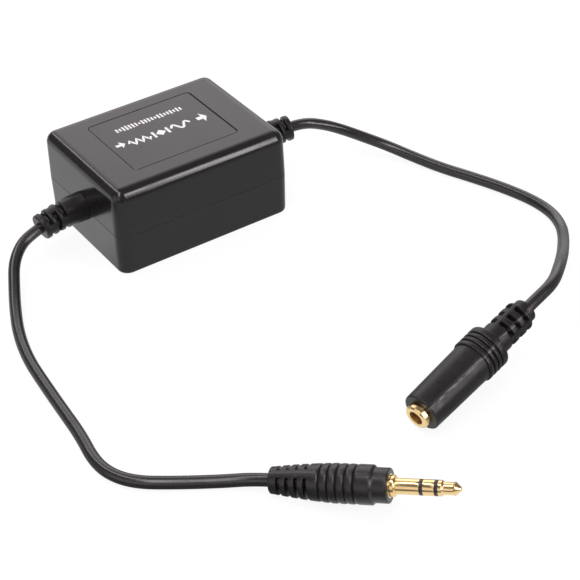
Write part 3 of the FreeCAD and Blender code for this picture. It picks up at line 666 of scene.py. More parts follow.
@dataclass
class FinishRack:
    """Builds each finish once and hands it out."""

    made: dict[str, bpy.types.Material] = field(default_factory=dict)

    def get(self, finish: Finish) -> bpy.types.Material:
        """Gives a finish's material.

        Args:
            finish: The finish wanted.

        Returns:
            Its material, built on first use.
        """
        if finish.name not in self.made:
            self.made[finish.name] = finish.material()
        return self.made[finish.name]


# Objects from meshes


def put(item: Thing, node: str = "") -> Thing:
    """Ties a finished piece to the body and reports it.

    Args:
        item: The piece.
        node: The CAD node that it stands for, if any.

    Returns:
        The same piece.
    """
    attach(item, BODY)
    if node:
        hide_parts(node)
    LOG.info("built %s for %s", item.name, node or "the body")
    return item


def link(name: str, data: bpy.types.ID) -> Thing:
    """Makes an object at the origin and links it to the scene.

    Args:
        name: The object's name.
        data: Its mesh, curve, lamp or camera.

    Returns:
        The new object.
    """
    item = bpy.data.objects.new(name, data)
    bpy.context.scene.collection.objects.link(item)
    return item


def new_object(
    name: str,
    points: Sequence[Vector],
    faces: Sequence[Sequence[int]],
    material: bpy.types.Material,
    sharp: float = 40.0,
) -> Thing:
    """Makes a smooth-shaded mesh object at the origin.

    Args:
        name: The object's name.
        points: Its vertices, in metres.
        faces: Its faces, pointing outwards.
        material: Its material.
        sharp: Edges that turn by more than this many degrees stay sharp.

    Returns:
        The new object, linked to the scene.
    """
    mesh = bpy.data.meshes.new(name)
    mesh.from_pydata([tuple(p) for p in points], [], [tuple(f) for f in faces])
    mesh.validate()
    mesh.materials.append(material)
    mesh.shade_smooth()
    mesh.set_sharp_from_angle(angle=math.radians(sharp))
    return link(name, mesh)


def run_geometry_tree(
    name: str,
    spots: Sequence[Vector],
    tree: Tree,
    values: dict[str, Value],
    material: bpy.types.Material,
) -> Thing:
    """Runs a Geometry Nodes tree once and keeps its result as a plain mesh.

    Args:
        name: Name of the new object.
        spots: Points that go into the tree, in metres.
        tree: The tree, with named inputs.
        values: Input name to its value.
        material: The material that the tree sets.

    Returns:
        The finished object, without modifiers.
    """
    start = bpy.data.meshes.new(f"{name}_start")
    start.from_pydata([tuple(spot) for spot in spots], [], [])
    item = link(name, start)
    modifier = item.modifiers.new(name, "NODES")
    modifier.node_group = tree
    for socket in tree.interface.items_tree:
        if socket.item_type == "SOCKET" and socket.in_out == "INPUT" and socket.name in values:
            modifier[socket.identifier] = values[socket.name]
    item.update_tag()
    bpy.context.view_layer.update()
    result = bpy.data.meshes.new_from_object(item.evaluated_get(bpy.context.evaluated_depsgraph_get()))
    item.modifiers.clear()
    item.data = result
    if material.name not in [slot.name for slot in result.materials if slot]:
        result.materials.clear()
        result.materials.append(material)
    result.name = name
    return item


def repeat_on_points(
    bench: NodeBench,
    inner: Node,
    points: Value,
    piece: Value,
    material: Value,
    size: Value = (1.0, 1.0, 1.0),
) -> None:
    """Ends a geometry tree with a copy of one piece on each point, made real and given its material.

    Args:
        bench: The tree's bench.
        inner: The node with the tree's outputs.
        points: The points.
        piece: The piece.
        material: Its material.
        size: Its scale on each point.
    """
    inputs = {"Points": points, "Instance": piece, "Scale": size}
    placed = bench.add("GeometryNodeInstanceOnPoints", inputs)
    whole = bench.add("GeometryNodeRealizeInstances", {0: placed.outputs[0]})
    dressed = bench.add("GeometryNodeSetMaterial", {"Geometry": whole.outputs[0], "Material": material})
    bench.feed(inner.inputs[0], dressed.outputs[0])


def row_of_points(
    bench: NodeBench, outer: Node, count: str, axis: str
) -> Socket:
    """Adds a straight row of points from the tree's own Start and Pitch.

    Args:
        bench: The tree's bench.
        outer: The node with the tree's inputs.
        count: Name of the input that counts the points.
        axis: The axis that the row runs along.

    Returns:
        The row's socket.
    """
    step = bench.add("ShaderNodeCombineXYZ", {axis: outer.outputs["Pitch"]}).outputs[0]
    inputs = {"Count": outer.outputs[count], "Start Location": outer.outputs["Start"], "Offset": step}
    return bench.add("GeometryNodeMeshLine", inputs).outputs[0]


# Turned and moulded forms

# Lengths in millimetres and angles in radians below which two places count as one
SAME_PLACE = 1e-6
SAME_RING = 1e-4
SAME_COLUMN = 0.002
# Gap in millimetres between two faces that would lie in one plane
FACE_GAP = 0.01
# Where rings and columns follow a cut, as shares of its edge rounding or of its own width
SLOT_RINGS = (1.0, 0.7, 0.4, 0.15, 0.0, -0.12, -0.5, -0.9)
BAR_COLUMNS = (1.0, 0.6, 0.25, 0.0, -0.12, -0.6)
GROOVE_RINGS = (0.0, 0.5, 0.8, 0.95, 1.0)
SHOULDER_RINGS = (0.2, 0.45, 0.7, 1.0)
MOULD_LINE_COLUMNS = (-1, -0.4, 0.4, 1)


def nearest_turn(angle: float, marks: Sequence[float]) -> float:
    """Gives the angle from a place to the nearest of some marks."""
    return min(abs((angle - math.radians(m) + math.pi) % (2 * math.pi) - math.pi) for m in marks)


@dataclass(frozen=True)
class Slot:
    """One slot round a bend relief, crossed by bars."""

    station: float
    width: float
    core: float
    bars: tuple[float, ...]
    bar_width: float


@dataclass(frozen=True)
class SlotRow:
    """A row of like slots along a bend relief."""

    start: float
    pitch: float
    count: int
    width: float
    core: float
    bar_width: float

    def slots(self, *bars: tuple[float, ...]) -> tuple[Slot, ...]:
        """Gives the slots.

        Args:
            bars: Angles of a slot's bars in degrees, in sets that the slots take in turn.

        Returns:
            The slots in order.
        """
        return tuple(
            Slot(
                self.start + index * self.pitch,
                self.width,
                self.core,
                bars[index % len(bars)],
                self.bar_width,
            )
            for index in range(self.count)
        )


@dataclass(frozen=True)
class Groove:
    """One round-bottomed groove between ribs with eased shoulders."""

    station: float
    width: float
    depth: float
    shoulder: float = 0.45
    ease: float = 0.12

    def drop(self, x: float) -> float:
        """Depth of the groove at a station.

        Args:
            x: The station.

        Returns:
            How far the surface lies below the uncut one.
        """
        across = abs(x - self.station) - self.width / 2
        if across >= self.shoulder:
            return 0.0
        if across >= 0:
            return self.ease * (1 - across / self.shoulder) ** 2
        inward = 1 + across / (self.width / 2)
        return self.ease + (self.depth - self.ease) * math.sqrt(max(0.0, 1 - inward * inward))


@dataclass(frozen=True)
class MouldLine:
    """The fine line that the two halves of a mould leave along a piece."""

    angles: tuple[float, ...]
    start: float
    end: float
    width: float = 0.16
    height: float = 0.03
    crest: float = 0.3


@dataclass(frozen=True)
class Lie:
    """Where a form's own X axis lies, straight or bent downwards in its own frame."""

    matrix: Matrix
    bend_radius: float = 0.0

    def point(self, x: float, y: float, z: float) -> Vector:
        """Places a point of the form.

        Args:
            x: Station along the axis, in millimetres.
            y: Offset along the form's Y.
            z: Offset along the form's Z.

        Returns:
            The point in the row frame, in metres.
        """
        local = Vector((x, y, z))
        if self.bend_radius and x > 0:
            turn = x / self.bend_radius
            reach = self.bend_radius + z
            local = Vector((reach * math.sin(turn), y, reach * math.cos(turn) - self.bend_radius))
        return (self.matrix @ local) * MM


@dataclass
class TurnedForm:
    """A form turned about its own X axis, with rounded corners, slots and grooves cut into it.

    outline holds (station, radius, rounding) from the back, over the outside, to the front.
    """

    outline: list[Point]
    closing: Outline = Outline.ON_AXIS
    slots: tuple[Slot, ...] = ()
    grooves: tuple[Groove, ...] = ()
    mould_line: Optional[MouldLine] = None
    edge: float = 0.16
    columns: int = 96
    longest_run: float = 0.8
    slot_radius: float = 3.5
    wall_share: float = 0.12
    foot_share: float = 0.8
    corner_share: float = 0.49
    arc_steps: int = 5

    def rounded(self) -> list[Span]:
        """Outline with an arc at each corner that has a rounding.

        Returns:
            (station, radius) points in order.
        """
        count = len(self.outline)
        points: list[Span] = []
        for index, (x, r, rounding) in enumerate(self.outline):
            first = index == 0
            last = index == count - 1
            open_end = self.closing is Outline.ON_AXIS and (first or last)
            if rounding <= 0 or open_end:
                points.append((x, r))
                continue
            here = Vector((x, r))
            before = Vector(self.outline[index - 1][:2]) - here
            after = Vector(self.outline[(index + 1) % count][:2]) - here
            room = self.corner_share * min(before.length, after.length)
            before.normalize()
            after.normalize()
            half = before.angle(after) / 2
            reach = min(rounding / math.tan(half), room)
            radius = reach * math.tan(half)
            centre = here + (before + after).normalized() * (radius / math.sin(half))
            start = here + before * reach - centre
            sweep = start.angle_signed(here + after * reach - centre)
            for step in range(self.arc_steps + 1):
                turned = Matrix.Rotation(-sweep * step / self.arc_steps, 2) @ start
                points.append(tuple(centre + turned))
        return points

    def cut_stations(self) -> list[float]:
        """Stations at which slots and grooves need rings.

        Returns:
            Stations in millimetres.
        """
        stations: list[float] = []
        for slot in self.slots:
            for part in SLOT_RINGS:
                reach = slot.width / 2 + self.edge * part
                stations += [slot.station - reach, slot.station + reach]
            stations.append(slot.station)
        for groove in self.grooves:
            reaches = [groove.width / 2 * part for part in GROOVE_RINGS]
            reaches += [groove.width / 2 + groove.shoulder * part for part in SHOULDER_RINGS]
            for reach in reaches:
                stations += [groove.station - reach, groove.station + reach]
        return sorted(set(round(s, 4) for s in stations))

    def rings(self) -> list[tuple[float, float, bool]]:
        """All rings of the form.

        Returns:
            (station, radius, outside) in order, where outside rings are cut by slots and grooves.
        """
        points = self.rounded()
        if self.closing is Outline.RING:
            points.append(points[0])
        extra = self.cut_stations()
        rings: list[tuple[float, float, bool]] = []
        for (x0, r0), (x1, r1) in zip(points, points[1:]):
            outside = x1 > x0 + SAME_PLACE
            rings.append((x0, r0, outside))
            run = math.hypot(x1 - x0, r1 - r0)
            count = math.ceil(run / self.longest_run)
            parts = {k / count for k in range(1, count)}
            if outside:
                within = [s for s in extra if x0 + SAME_RING < s < x1 - SAME_RING]
                parts |= {(s - x0) / (x1 - x0) for s in within}
            for part in sorted(parts):
                rings.append((x0 + (x1 - x0) * part, r0 + (r1 - r0) * part, outside))
        if self.closing is Outline.ON_AXIS:
            rings.append((*points[-1], False))
        return rings

    def angles(self) -> list[float]:
        """All angles round the form, closer together at the bars and the mould lines.

        Returns:
            Angles in radians, rising from 0.
        """
        angles = {2 * math.pi * k / self.columns for k in range(self.columns)}
        for slot in self.slots:
            for bar in slot.bars:
                for part in BAR_COLUMNS:
                    reach = (slot.bar_width / 2 - self.edge * part) / self.slot_radius
                    for side in (-1, 1):
                        angles.add((math.radians(bar) + side * reach) % (2 * math.pi))
        if self.mould_line:
            for line in self.mould_line.angles:
                for part in MOULD_LINE_COLUMNS:
                    reach = part * self.mould_line.width / 2 / self.slot_radius
                    angles.add((math.radians(line) + reach) % (2 * math.pi))
        ordered: list[float] = []
        for angle in sorted(angles):
            if not ordered or angle - ordered[-1] > SAME_COLUMN:
                ordered.append(angle)
        return ordered

    def slot_drop(self, slot: Slot, x: float, r: float, angle: float) -> float:
        """Depth of one slot at a place on the surface.

        Args:
            slot: The slot.
            x: Station of the place.
            r: Radius of the uncut surface there.
            angle: Angle of the place, in radians.

        Returns:
            How far the surface lies below the uncut one.
        """
        along = abs(x - slot.station) - slot.width / 2
        if along > self.edge or r <= slot.core:
            return 0.0
        across = slot.bar_width / 2 - nearest_turn(angle, slot.bars) * self.slot_radius
        depth = r - slot.core
        if along <= 0 and across <= 0:
            inside = -max(along, across)
            wall = self.wall_share * self.edge
            foot = self.foot_share * self.edge
            if inside < wall:
                return self.edge + (depth - self.edge - foot) * inside / wall
            left = max(0.0, foot - (inside - wall))
            return depth - foot + math.sqrt(max(0.0, foot * foot - left * left))
        away = math.hypot(max(along, 0.0), max(across, 0.0))
        if away >= self.edge:
            return 0.0
        return self.edge - math.sqrt(self.edge**2 - (self.edge - away) ** 2)

    def surface_radius(self, x: float, r: float, angle: float) -> float:
        """Radius of the cut surface.

        Args:
            x: Station.
            r: Radius of the uncut surface.
            angle: Angle in radians.

        Returns:
            The radius in millimetres.
        """
        drop = 0.0
        for slot in self.slots:
            drop = max(drop, self.slot_drop(slot, x, r, angle))
        for groove in self.grooves:
            drop = max(drop, groove.drop(x))
        line = self.mould_line
        if drop == 0 and line and line.start < x < line.end:
            if nearest_turn(angle, line.angles) * self.slot_radius < line.width * line.crest:
                return r + line.height
        return r - drop

    def build(self, name: str, lie: Lie, material: bpy.types.Material) -> Thing:
        """Makes the form as one closed mesh.

        Args:
            name: Name of the object.
            lie: Where the form lies.
            material: Its material.

        Returns:
            The finished object.
        """
        rings = self.rings()
        angles = self.angles()
        points: list[Vector] = []
        rows: list[list[int]] = []
        for x, r, outside in rings:
            if r < SAME_PLACE:
                rows.append([len(points)] * len(angles))
                points.append(lie.point(x, 0, 0))
                continue
            row = []
            for angle in angles:
                radius = self.surface_radius(x, r, angle) if outside else r
                row.append(len(points))
                points.append(lie.point(x, radius * math.cos(angle), radius * math.sin(angle)))
            rows.append(row)
        if self.closing is Outline.RING:
            rows.append(rows[0])
        faces: list[list[int]] = []
        for low, high in zip(rows, rows[1:]):
            for index in range(len(angles)):
                following = (index + 1) % len(angles)
                corners = [low[index], low[following], high[following], high[index]]
                face = list(dict.fromkeys(corners))
                if len(face) > 2:
                    faces.append(face)
        return new_object(name, points, faces, material)


# Sub-assemblies


@dataclass
class CordRun:
    """One cord, from its strain relief to its plug or jack."""

    name: str
    node: str
    route: list[Point]
    length: float
    far_end: str
    diameter: float = 0.003
    section_steps: int = 10
    steps: int = 24

    def build(self, rack: FinishRack) -> Thing:
        """Makes the cord as one smooth curve.

        Args:
            rack: The finishes.

        Returns:
            The curve object.
        """
        data = bpy.data.curves.new(self.name, "CURVE")
        data.dimensions = "3D"
        data.bevel_depth = self.diameter / 2
        data.bevel_resolution = self.section_steps
        data.use_fill_caps = True
        spline = data.splines.new("NURBS")
        spline.points.add(len(self.route) - 1)
        for point, place in zip(spline.points, self.route):
            point.co = (*place, 1.0)
        spline.order_u = 3
        spline.use_endpoint_u = True
        spline.resolution_u = self.steps
        data.materials.append(rack.get(CORD_VINYL))
        return put(link(self.name, data), self.node)

    def declare(self, item: Thing, pieces: Pieces) -> None:
        """Args:
            item: The curve object; not used.
            pieces: What is on the cord's far end; not used.
        """


@dataclass
class StrainRelief:
    """The slotted, slightly bent relief on one end of the case."""

    end: End
    turn: float
    wall_reach: float = 25.65
    height: float = 11.5
    length: float = 12.8
    bend: float = 14.0
    wall_gap: float = 0.02
    wall_radius: float = 3.9
    end_radius: float = 3.45
    neck_radius: float = 3.0
    flange_radius: float = 4.2
    tail_radius: float = 1.9
    neck_start: float = -1.9
    flange_start: float = -3.4
    tail_start: float = -5.2
    slot_row: SlotRow = SlotRow(start=6.4, pitch=2.15, count=3, width=1.1, core=2.0, bar_width=2.6)

    def lie(self) -> Lie:
        """Places the relief on its end wall.

        Returns:
            Where its own X axis lies, and how it bends.
        """
        side = self.end.value
        face = Matrix.Rotation(0.0 if side > 0 else math.pi, 4, "Z")
        roll = Matrix.Rotation(math.radians(-side * self.turn), 4, "X")
        place = Matrix.Translation((side * self.wall_reach, 0, self.height))
        return Lie(place @ face @ roll, self.length / math.radians(self.bend))

    def form(self) -> TurnedForm:
        """Draws the relief, with slots whose bars turn by 90 degrees from each to the next.

        Returns:
            Its outline and slots.
        """
        bar = self.end.value * self.turn
        return TurnedForm(
            outline=[
                (self.tail_start, 0, 0),
                (self.tail_start, self.tail_radius, 0.2),
                (self.flange_start, self.tail_radius, 0),
                (self.flange_start, self.flange_radius, 0.2),
                (self.neck_start, self.flange_radius, 0.2),
                (self.neck_start, self.neck_radius, 0),
                (self.wall_gap, self.neck_radius, 0),
                (self.wall_gap, self.wall_radius, 0),
                (self.length, self.end_radius, 0.45),
                (self.length, 0, 0),
            ],
            slots=self.slot_row.slots((bar, bar + 180), (90 + bar, 90 + bar + 180)),
            edge=0.24,
            columns=80,
        )

    def build(self, rack: FinishRack) -> None:
        """Makes the relief and puts it in its node's place.

        Args:
            rack: The finishes.
        """
        end = self.end.name.lower()
        piece = self.form().build(f"relief_{end}", self.lie(), rack.get(GRIP_VINYL))
        put(piece, f"strain_relief_{end}")


@dataclass
class CordEnd:
    """What a cord ends in: moulded and turned forms on one axis, tilted up from the floor."""

    place: Point
    heading: float
    tilt: float

    def lie(self) -> Lie:
        """Aims the pieces' shared X axis and tilts it up from the floor.

        Returns:
            Where the pieces lie.
        """
        aim = Matrix.Rotation(math.radians(self.heading), 4, "Z")
        lean = Matrix.Rotation(math.radians(-self.tilt), 4, "Y")
        return Lie(Matrix.Translation(self.place) @ aim @ lean)

    def make(
        self, rack: FinishRack, plans: Sequence[tuple[str, TurnedForm, Finish, str, str]]
    ) -> Pieces:
        """Makes the pieces and puts each in its node's place.

        Args:
            rack: The finishes.
            plans: Name, form, finish, node and material slot of each piece.

        Returns:
            The finished pieces.
        """
        lie = self.lie()
        return [
            put(form.build(name, lie, rack.get(finish)), node)
            for name, form, finish, node, slot in plans
        ]


@dataclass
class Plug(CordEnd):
    """Three-pole plug: a moulded grip and the gold turnings. Its X axis runs towards its tip."""

    place: Point = (-38.03, -106.62, 2.8692)
    heading: float = -49.5
    tilt: float = 9.0
    grip_length: float = 26.7
    rear_radius: float = 3.0
    middle_radius: float = 3.8
    radius: float = 4.35
    rear_length: float = 0.6
    taper_length: float = 14.4
    taper_steps: int = 12
    collar_end: float = 23.0
    nose_radius: float = 3.83
    bar_angle: float = 111.0
    slot_row: SlotRow = SlotRow(start=2.36, pitch=2.11, count=4, width=0.85, core=1.9, bar_width=2.0)
    groove_start: float = 11.77
    groove_pitch: float = 1.93
    groove_count: int = 5
    mould_back: float = 12.5
    sleeve_back: float = 21.5
    sleeve_bore: float = 1.35
    body_radius: float = 2.6
    flange_radius: float = 2.35
    flange_front: float = 27.95
    shaft_radius: float = 1.75
    sleeve_front: float = 33.15
    washer_radius: float = 1.9
    ring_washer: Span = (19.6, 20.0)
    ring_bore: float = 0.85
    ring_tube: float = 1.15
    ring_back: float = 33.93
    ring_front: float = 36.41
    tip_washer: Span = (17.7, 18.1)
    tip_rod: float = 0.55
    tip_back: float = 37.19
    tip_collar: float = 0.8
    waist_radius: float = 1.38
    waist_run: float = 0.3
    head_length: float = 2.75
    head_radius: float = 1.56
    point_back: float = 0.2
    point_radius: float = 0.58
    end_radius: float = 0.36
    tip_end: float = 42.04

    def taper(self) -> list[Point]:
        """Points of the grip's swelling taper.

        Returns:
            Outline points on the arc through the rear, middle and full radius.
        """
        x0, x1, x2 = self.rear_length, self.taper_length / 2, self.taper_length
        y0, y1, y2 = self.rear_radius, self.middle_radius, self.radius
        points: list[Point] = []
        for step in range(1, self.taper_steps + 1):
            x = x0 + (x2 - x0) * step / self.taper_steps
            first = y0 * (x - x1) * (x - x2) / ((x0 - x1) * (x0 - x2))
            second = y1 * (x - x0) * (x - x2) / ((x1 - x0) * (x1 - x2))
            third = y2 * (x - x0) * (x - x1) / ((x2 - x0) * (x2 - x1))
            points.append((x, first + second + third, 0))
        return points

    def grip(self) -> TurnedForm:
        """Draws the moulded grip.

        Returns:
            Its outline, slots, grooves and mould line.
        """
        bars = (self.bar_angle, self.bar_angle + 180)
        shoulder = self.radius - self.nose_radius
        return TurnedForm(
            outline=[
                (0, 0, 0),
                (0, self.rear_radius - 0.02, 0.6),
                (self.rear_length, self.rear_radius, 0.2),
                *self.taper(),
                (self.collar_end, self.radius, 0.3),
                (self.collar_end + shoulder, self.nose_radius, 0.15),
                (self.grip_length, self.nose_radius, 0.3),
                (self.grip_length, self.body_radius, 0),
                (self.mould_back, self.body_radius, 0),
                (self.mould_back, 0, 0),
            ],
            slots=self.slot_row.slots(bars),
            grooves=tuple(
                Groove(
                    self.groove_start + index * self.groove_pitch,
                    width=0.5,
                    depth=0.55,
                    shoulder=0.5,
                    ease=0.1,
                )
                for index in range(self.groove_count)
            ),
            mould_line=MouldLine(bars, start=0.9, end=self.grip_length - 0.4),
            edge=0.17,
            columns=96,
        )

    def sleeve(self) -> TurnedForm:
        """Draws the gold sleeve with its flange.

        Returns:
            Its closed outline.
        """
        grip_face = self.grip_length + FACE_GAP
        return TurnedForm(
            outline=[
                (self.sleeve_back, self.sleeve_bore, 0),
                (self.sleeve_back, self.body_radius, 0.1),
                (grip_face, self.body_radius, 0.02),
                (grip_face, self.flange_radius, 0),
                (self.flange_front, self.flange_radius, 0.3),
                (self.flange_front, self.shaft_radius, 0.08),
                (self.sleeve_front, self.shaft_radius, 0.06),
                (self.sleeve_front, self.sleeve_bore, 0),
            ],
            closing=Outline.RING,
        )

    def ring(self) -> TurnedForm:
        """Draws the gold ring with its tube and washer.

        Returns:
            Its closed outline.
        """
        back, front = self.ring_washer
        return TurnedForm(
            outline=[
                (back, self.ring_bore, 0),
                (back, self.washer_radius, 0.05),
                (front, self.washer_radius, 0.05),
                (front, self.ring_tube, 0),
                (self.ring_back, self.ring_tube, 0),
                (self.ring_back, self.shaft_radius, 0.06),
                (self.ring_front, self.shaft_radius, 0.06),
                (self.ring_front, self.ring_bore, 0),
            ],
            closing=Outline.RING,
        )

    def tip(self) -> TurnedForm:
        """Draws the gold tip with its rod and washer.

        Returns:
            Its outline, from axis to axis.
        """
        back, front = self.tip_washer
        collar = self.tip_back + self.tip_collar
        head = collar + self.head_length
        return TurnedForm(
            outline=[
                (back, 0, 0),
                (back, self.washer_radius, 0.05),
                (front, self.washer_radius, 0.05),
                (front, self.tip_rod, 0),
                (self.tip_back, self.tip_rod, 0),
                (self.tip_back, self.shaft_radius, 0.06),
                (collar, self.shaft_radius, 0.1),
                (collar + self.waist_run, self.waist_radius, 0.15),
                (head - self.waist_run, self.waist_radius, 0.15),
                (head, self.head_radius, 0.12),
                (self.tip_end - self.point_back, self.point_radius, 0.2),
                (self.tip_end, self.end_radius, 0.15),
                (self.tip_end, 0, 0),
            ],
            longest_run=0.3,
        )

    def build(self, rack: FinishRack) -> Pieces:
        """Makes the plug's pieces.

        Args:
            rack: The finishes.

        Returns:
            Everything that goes with the cord.
        """
        plans = [
            ("plug_grip", self.grip(), PLUG_VINYL, "plug_handle", "soft_black"),
            ("plug_sleeve_turning", self.sleeve(), GOLD_PLATE, "plug_sleeve", "gold_plate"),
            ("plug_ring_turning", self.ring(), GOLD_PLATE, "plug_ring", "gold_plate"),
            ("plug_tip_turning", self.tip(), GOLD_PLATE, "plug_tip", "gold_plate"),
        ]
        inner = ["plug_inner_mould", "plug_ring_insulator", "plug_tip_insulator"]
        return self.make(rack, plans) + inner


@dataclass
class Jack(CordEnd):
    """In-line jack: a moulded grip round a gold-nosed socket. Its X axis runs back to the cord."""

    place: Point = (0.22, -109.79, 4.6132)
    heading: float = 11.7
    tilt: float = 12.0
    front_radius: float = 4.78
    rear_radius: float = 5.13
    barrel_length: float = 18.25
    collar_radius: float = 5.55
    collar_length: float = 6.4
    groove_count: int = 3
    groove_pitch: float = 1.4
    neck_radius: float = 3.8
    neck_length: float = 11.2
    end_radius: float = 2.95
    end_length: float = 2.2
    cord_hole: float = 0.3
    bar_angle: float = -10.0
    slot_row: SlotRow = SlotRow(start=28.85, pitch=2.75, count=3, width=1.25, core=1.95, bar_width=1.1)
    nose_length: float = 1.9
    nose_radius: float = 3.1
    nose_bevel: float = 0.35
    mouth_radius: float = 1.8
    bushing_radius: float = 2.8
    bushing_length: float = 9.0
    socket_radius: float = 3.4
    socket_end: float = 17.0
    mould_radius: float = 3.2
    mould_end: float = 24.5
    bore_slack: float = 0.02

    def grip(self) -> TurnedForm:
        """Draws the moulded grip.

        Returns:
            Its closed outline, slots and grooves.
        """
        collar_end = self.barrel_length + self.collar_length
        neck_end = collar_end + self.neck_length
        length = neck_end + self.end_length
        return TurnedForm(
            outline=[
                (0, self.bushing_radius, 0),
                (0, self.front_radius - 0.01, 0.35),
                (self.barrel_length, self.rear_radius, 0),
                (self.barrel_length, self.collar_radius, 0.2),
                (collar_end, self.collar_radius, 0.5),
                (collar_end, self.neck_radius, 0.15),
                (neck_end, self.neck_radius, 0.5),
                (neck_end, self.end_radius, 0.1),
                (length, self.end_radius, 0.35),
                (length, self.cord_hole, 0),
                (self.mould_end, self.cord_hole, 0),
                (self.mould_end, self.mould_radius, 0),
                (self.socket_end, self.mould_radius, 0),
                (self.socket_end, self.socket_radius, 0),
                (self.bushing_length, self.socket_radius, 0),
                (self.bushing_length, self.bushing_radius, 0),
            ],
            closing=Outline.RING,
            slots=self.slot_row.slots(tuple(self.bar_angle + 90 * quarter for quarter in range(4))),
            grooves=tuple(
                Groove(
                    self.barrel_length + (index + 1) * self.groove_pitch,
                    width=0.48,
                    depth=0.55,
                    shoulder=0.36,
                    ease=0.08,
                )
                for index in range(self.groove_count)
            ),
            edge=0.2,
            columns=104,
            slot_radius=self.neck_radius,
        )

    def nose(self) -> TurnedForm:
        """Draws the gold bushing.

        Returns:
            Its closed outline.
        """
        grip_face = -FACE_GAP
        return TurnedForm(
            outline=[
                (-self.nose_length, self.mouth_radius, 0.15),
                (-self.nose_length, self.nose_radius - self.nose_bevel, 0.1),
                (-self.nose_length + self.nose_bevel, self.nose_radius, 0.12),
                (grip_face, self.nose_radius, 0.06),
                (grip_face, self.bushing_radius, 0),
                (self.bushing_length, self.bushing_radius, 0),
                (self.bushing_length, self.mouth_radius, 0),
            ],
            closing=Outline.RING,
            longest_run=0.5,
        )

    def line_bore(self, nose: Thing, material: bpy.types.Material) -> None:
        """Gives the inside of the gold bushing its duller finish.

        Args:
            nose: The bushing.
            material: The finish of its bore.
        """
        nose.data.materials.append(material)
        inward = self.lie().matrix.inverted()
        for face in nose.data.polygons:
            local = inward @ (face.center / MM)
            if math.hypot(local.y, local.z) < self.mouth_radius + self.bore_slack:
                face.material_index = 1

    def build(self, rack: FinishRack) -> Pieces:
        """Makes the jack's pieces.

        Args:
            rack: The finishes.

        Returns:
            Everything that goes with the cord.
        """
        plans = [
            ("jack_grip", self.grip(), BARREL_VINYL, "jack_handle", "soft_black"),
            ("jack_nose_turning", self.nose(), GOLD_PLATE, "jack_bushing", "gold_plate"),
        ]
        grip, nose = self.make(rack, plans)
        self.line_bore(nose, rack.get(GOLD_BORE))
        contacts = [f"jack_contact_{name}" for name in ("tip", "ring", "ground")]
        return [grip, nose, "jack_socket", "jack_inner_mould", *contacts]


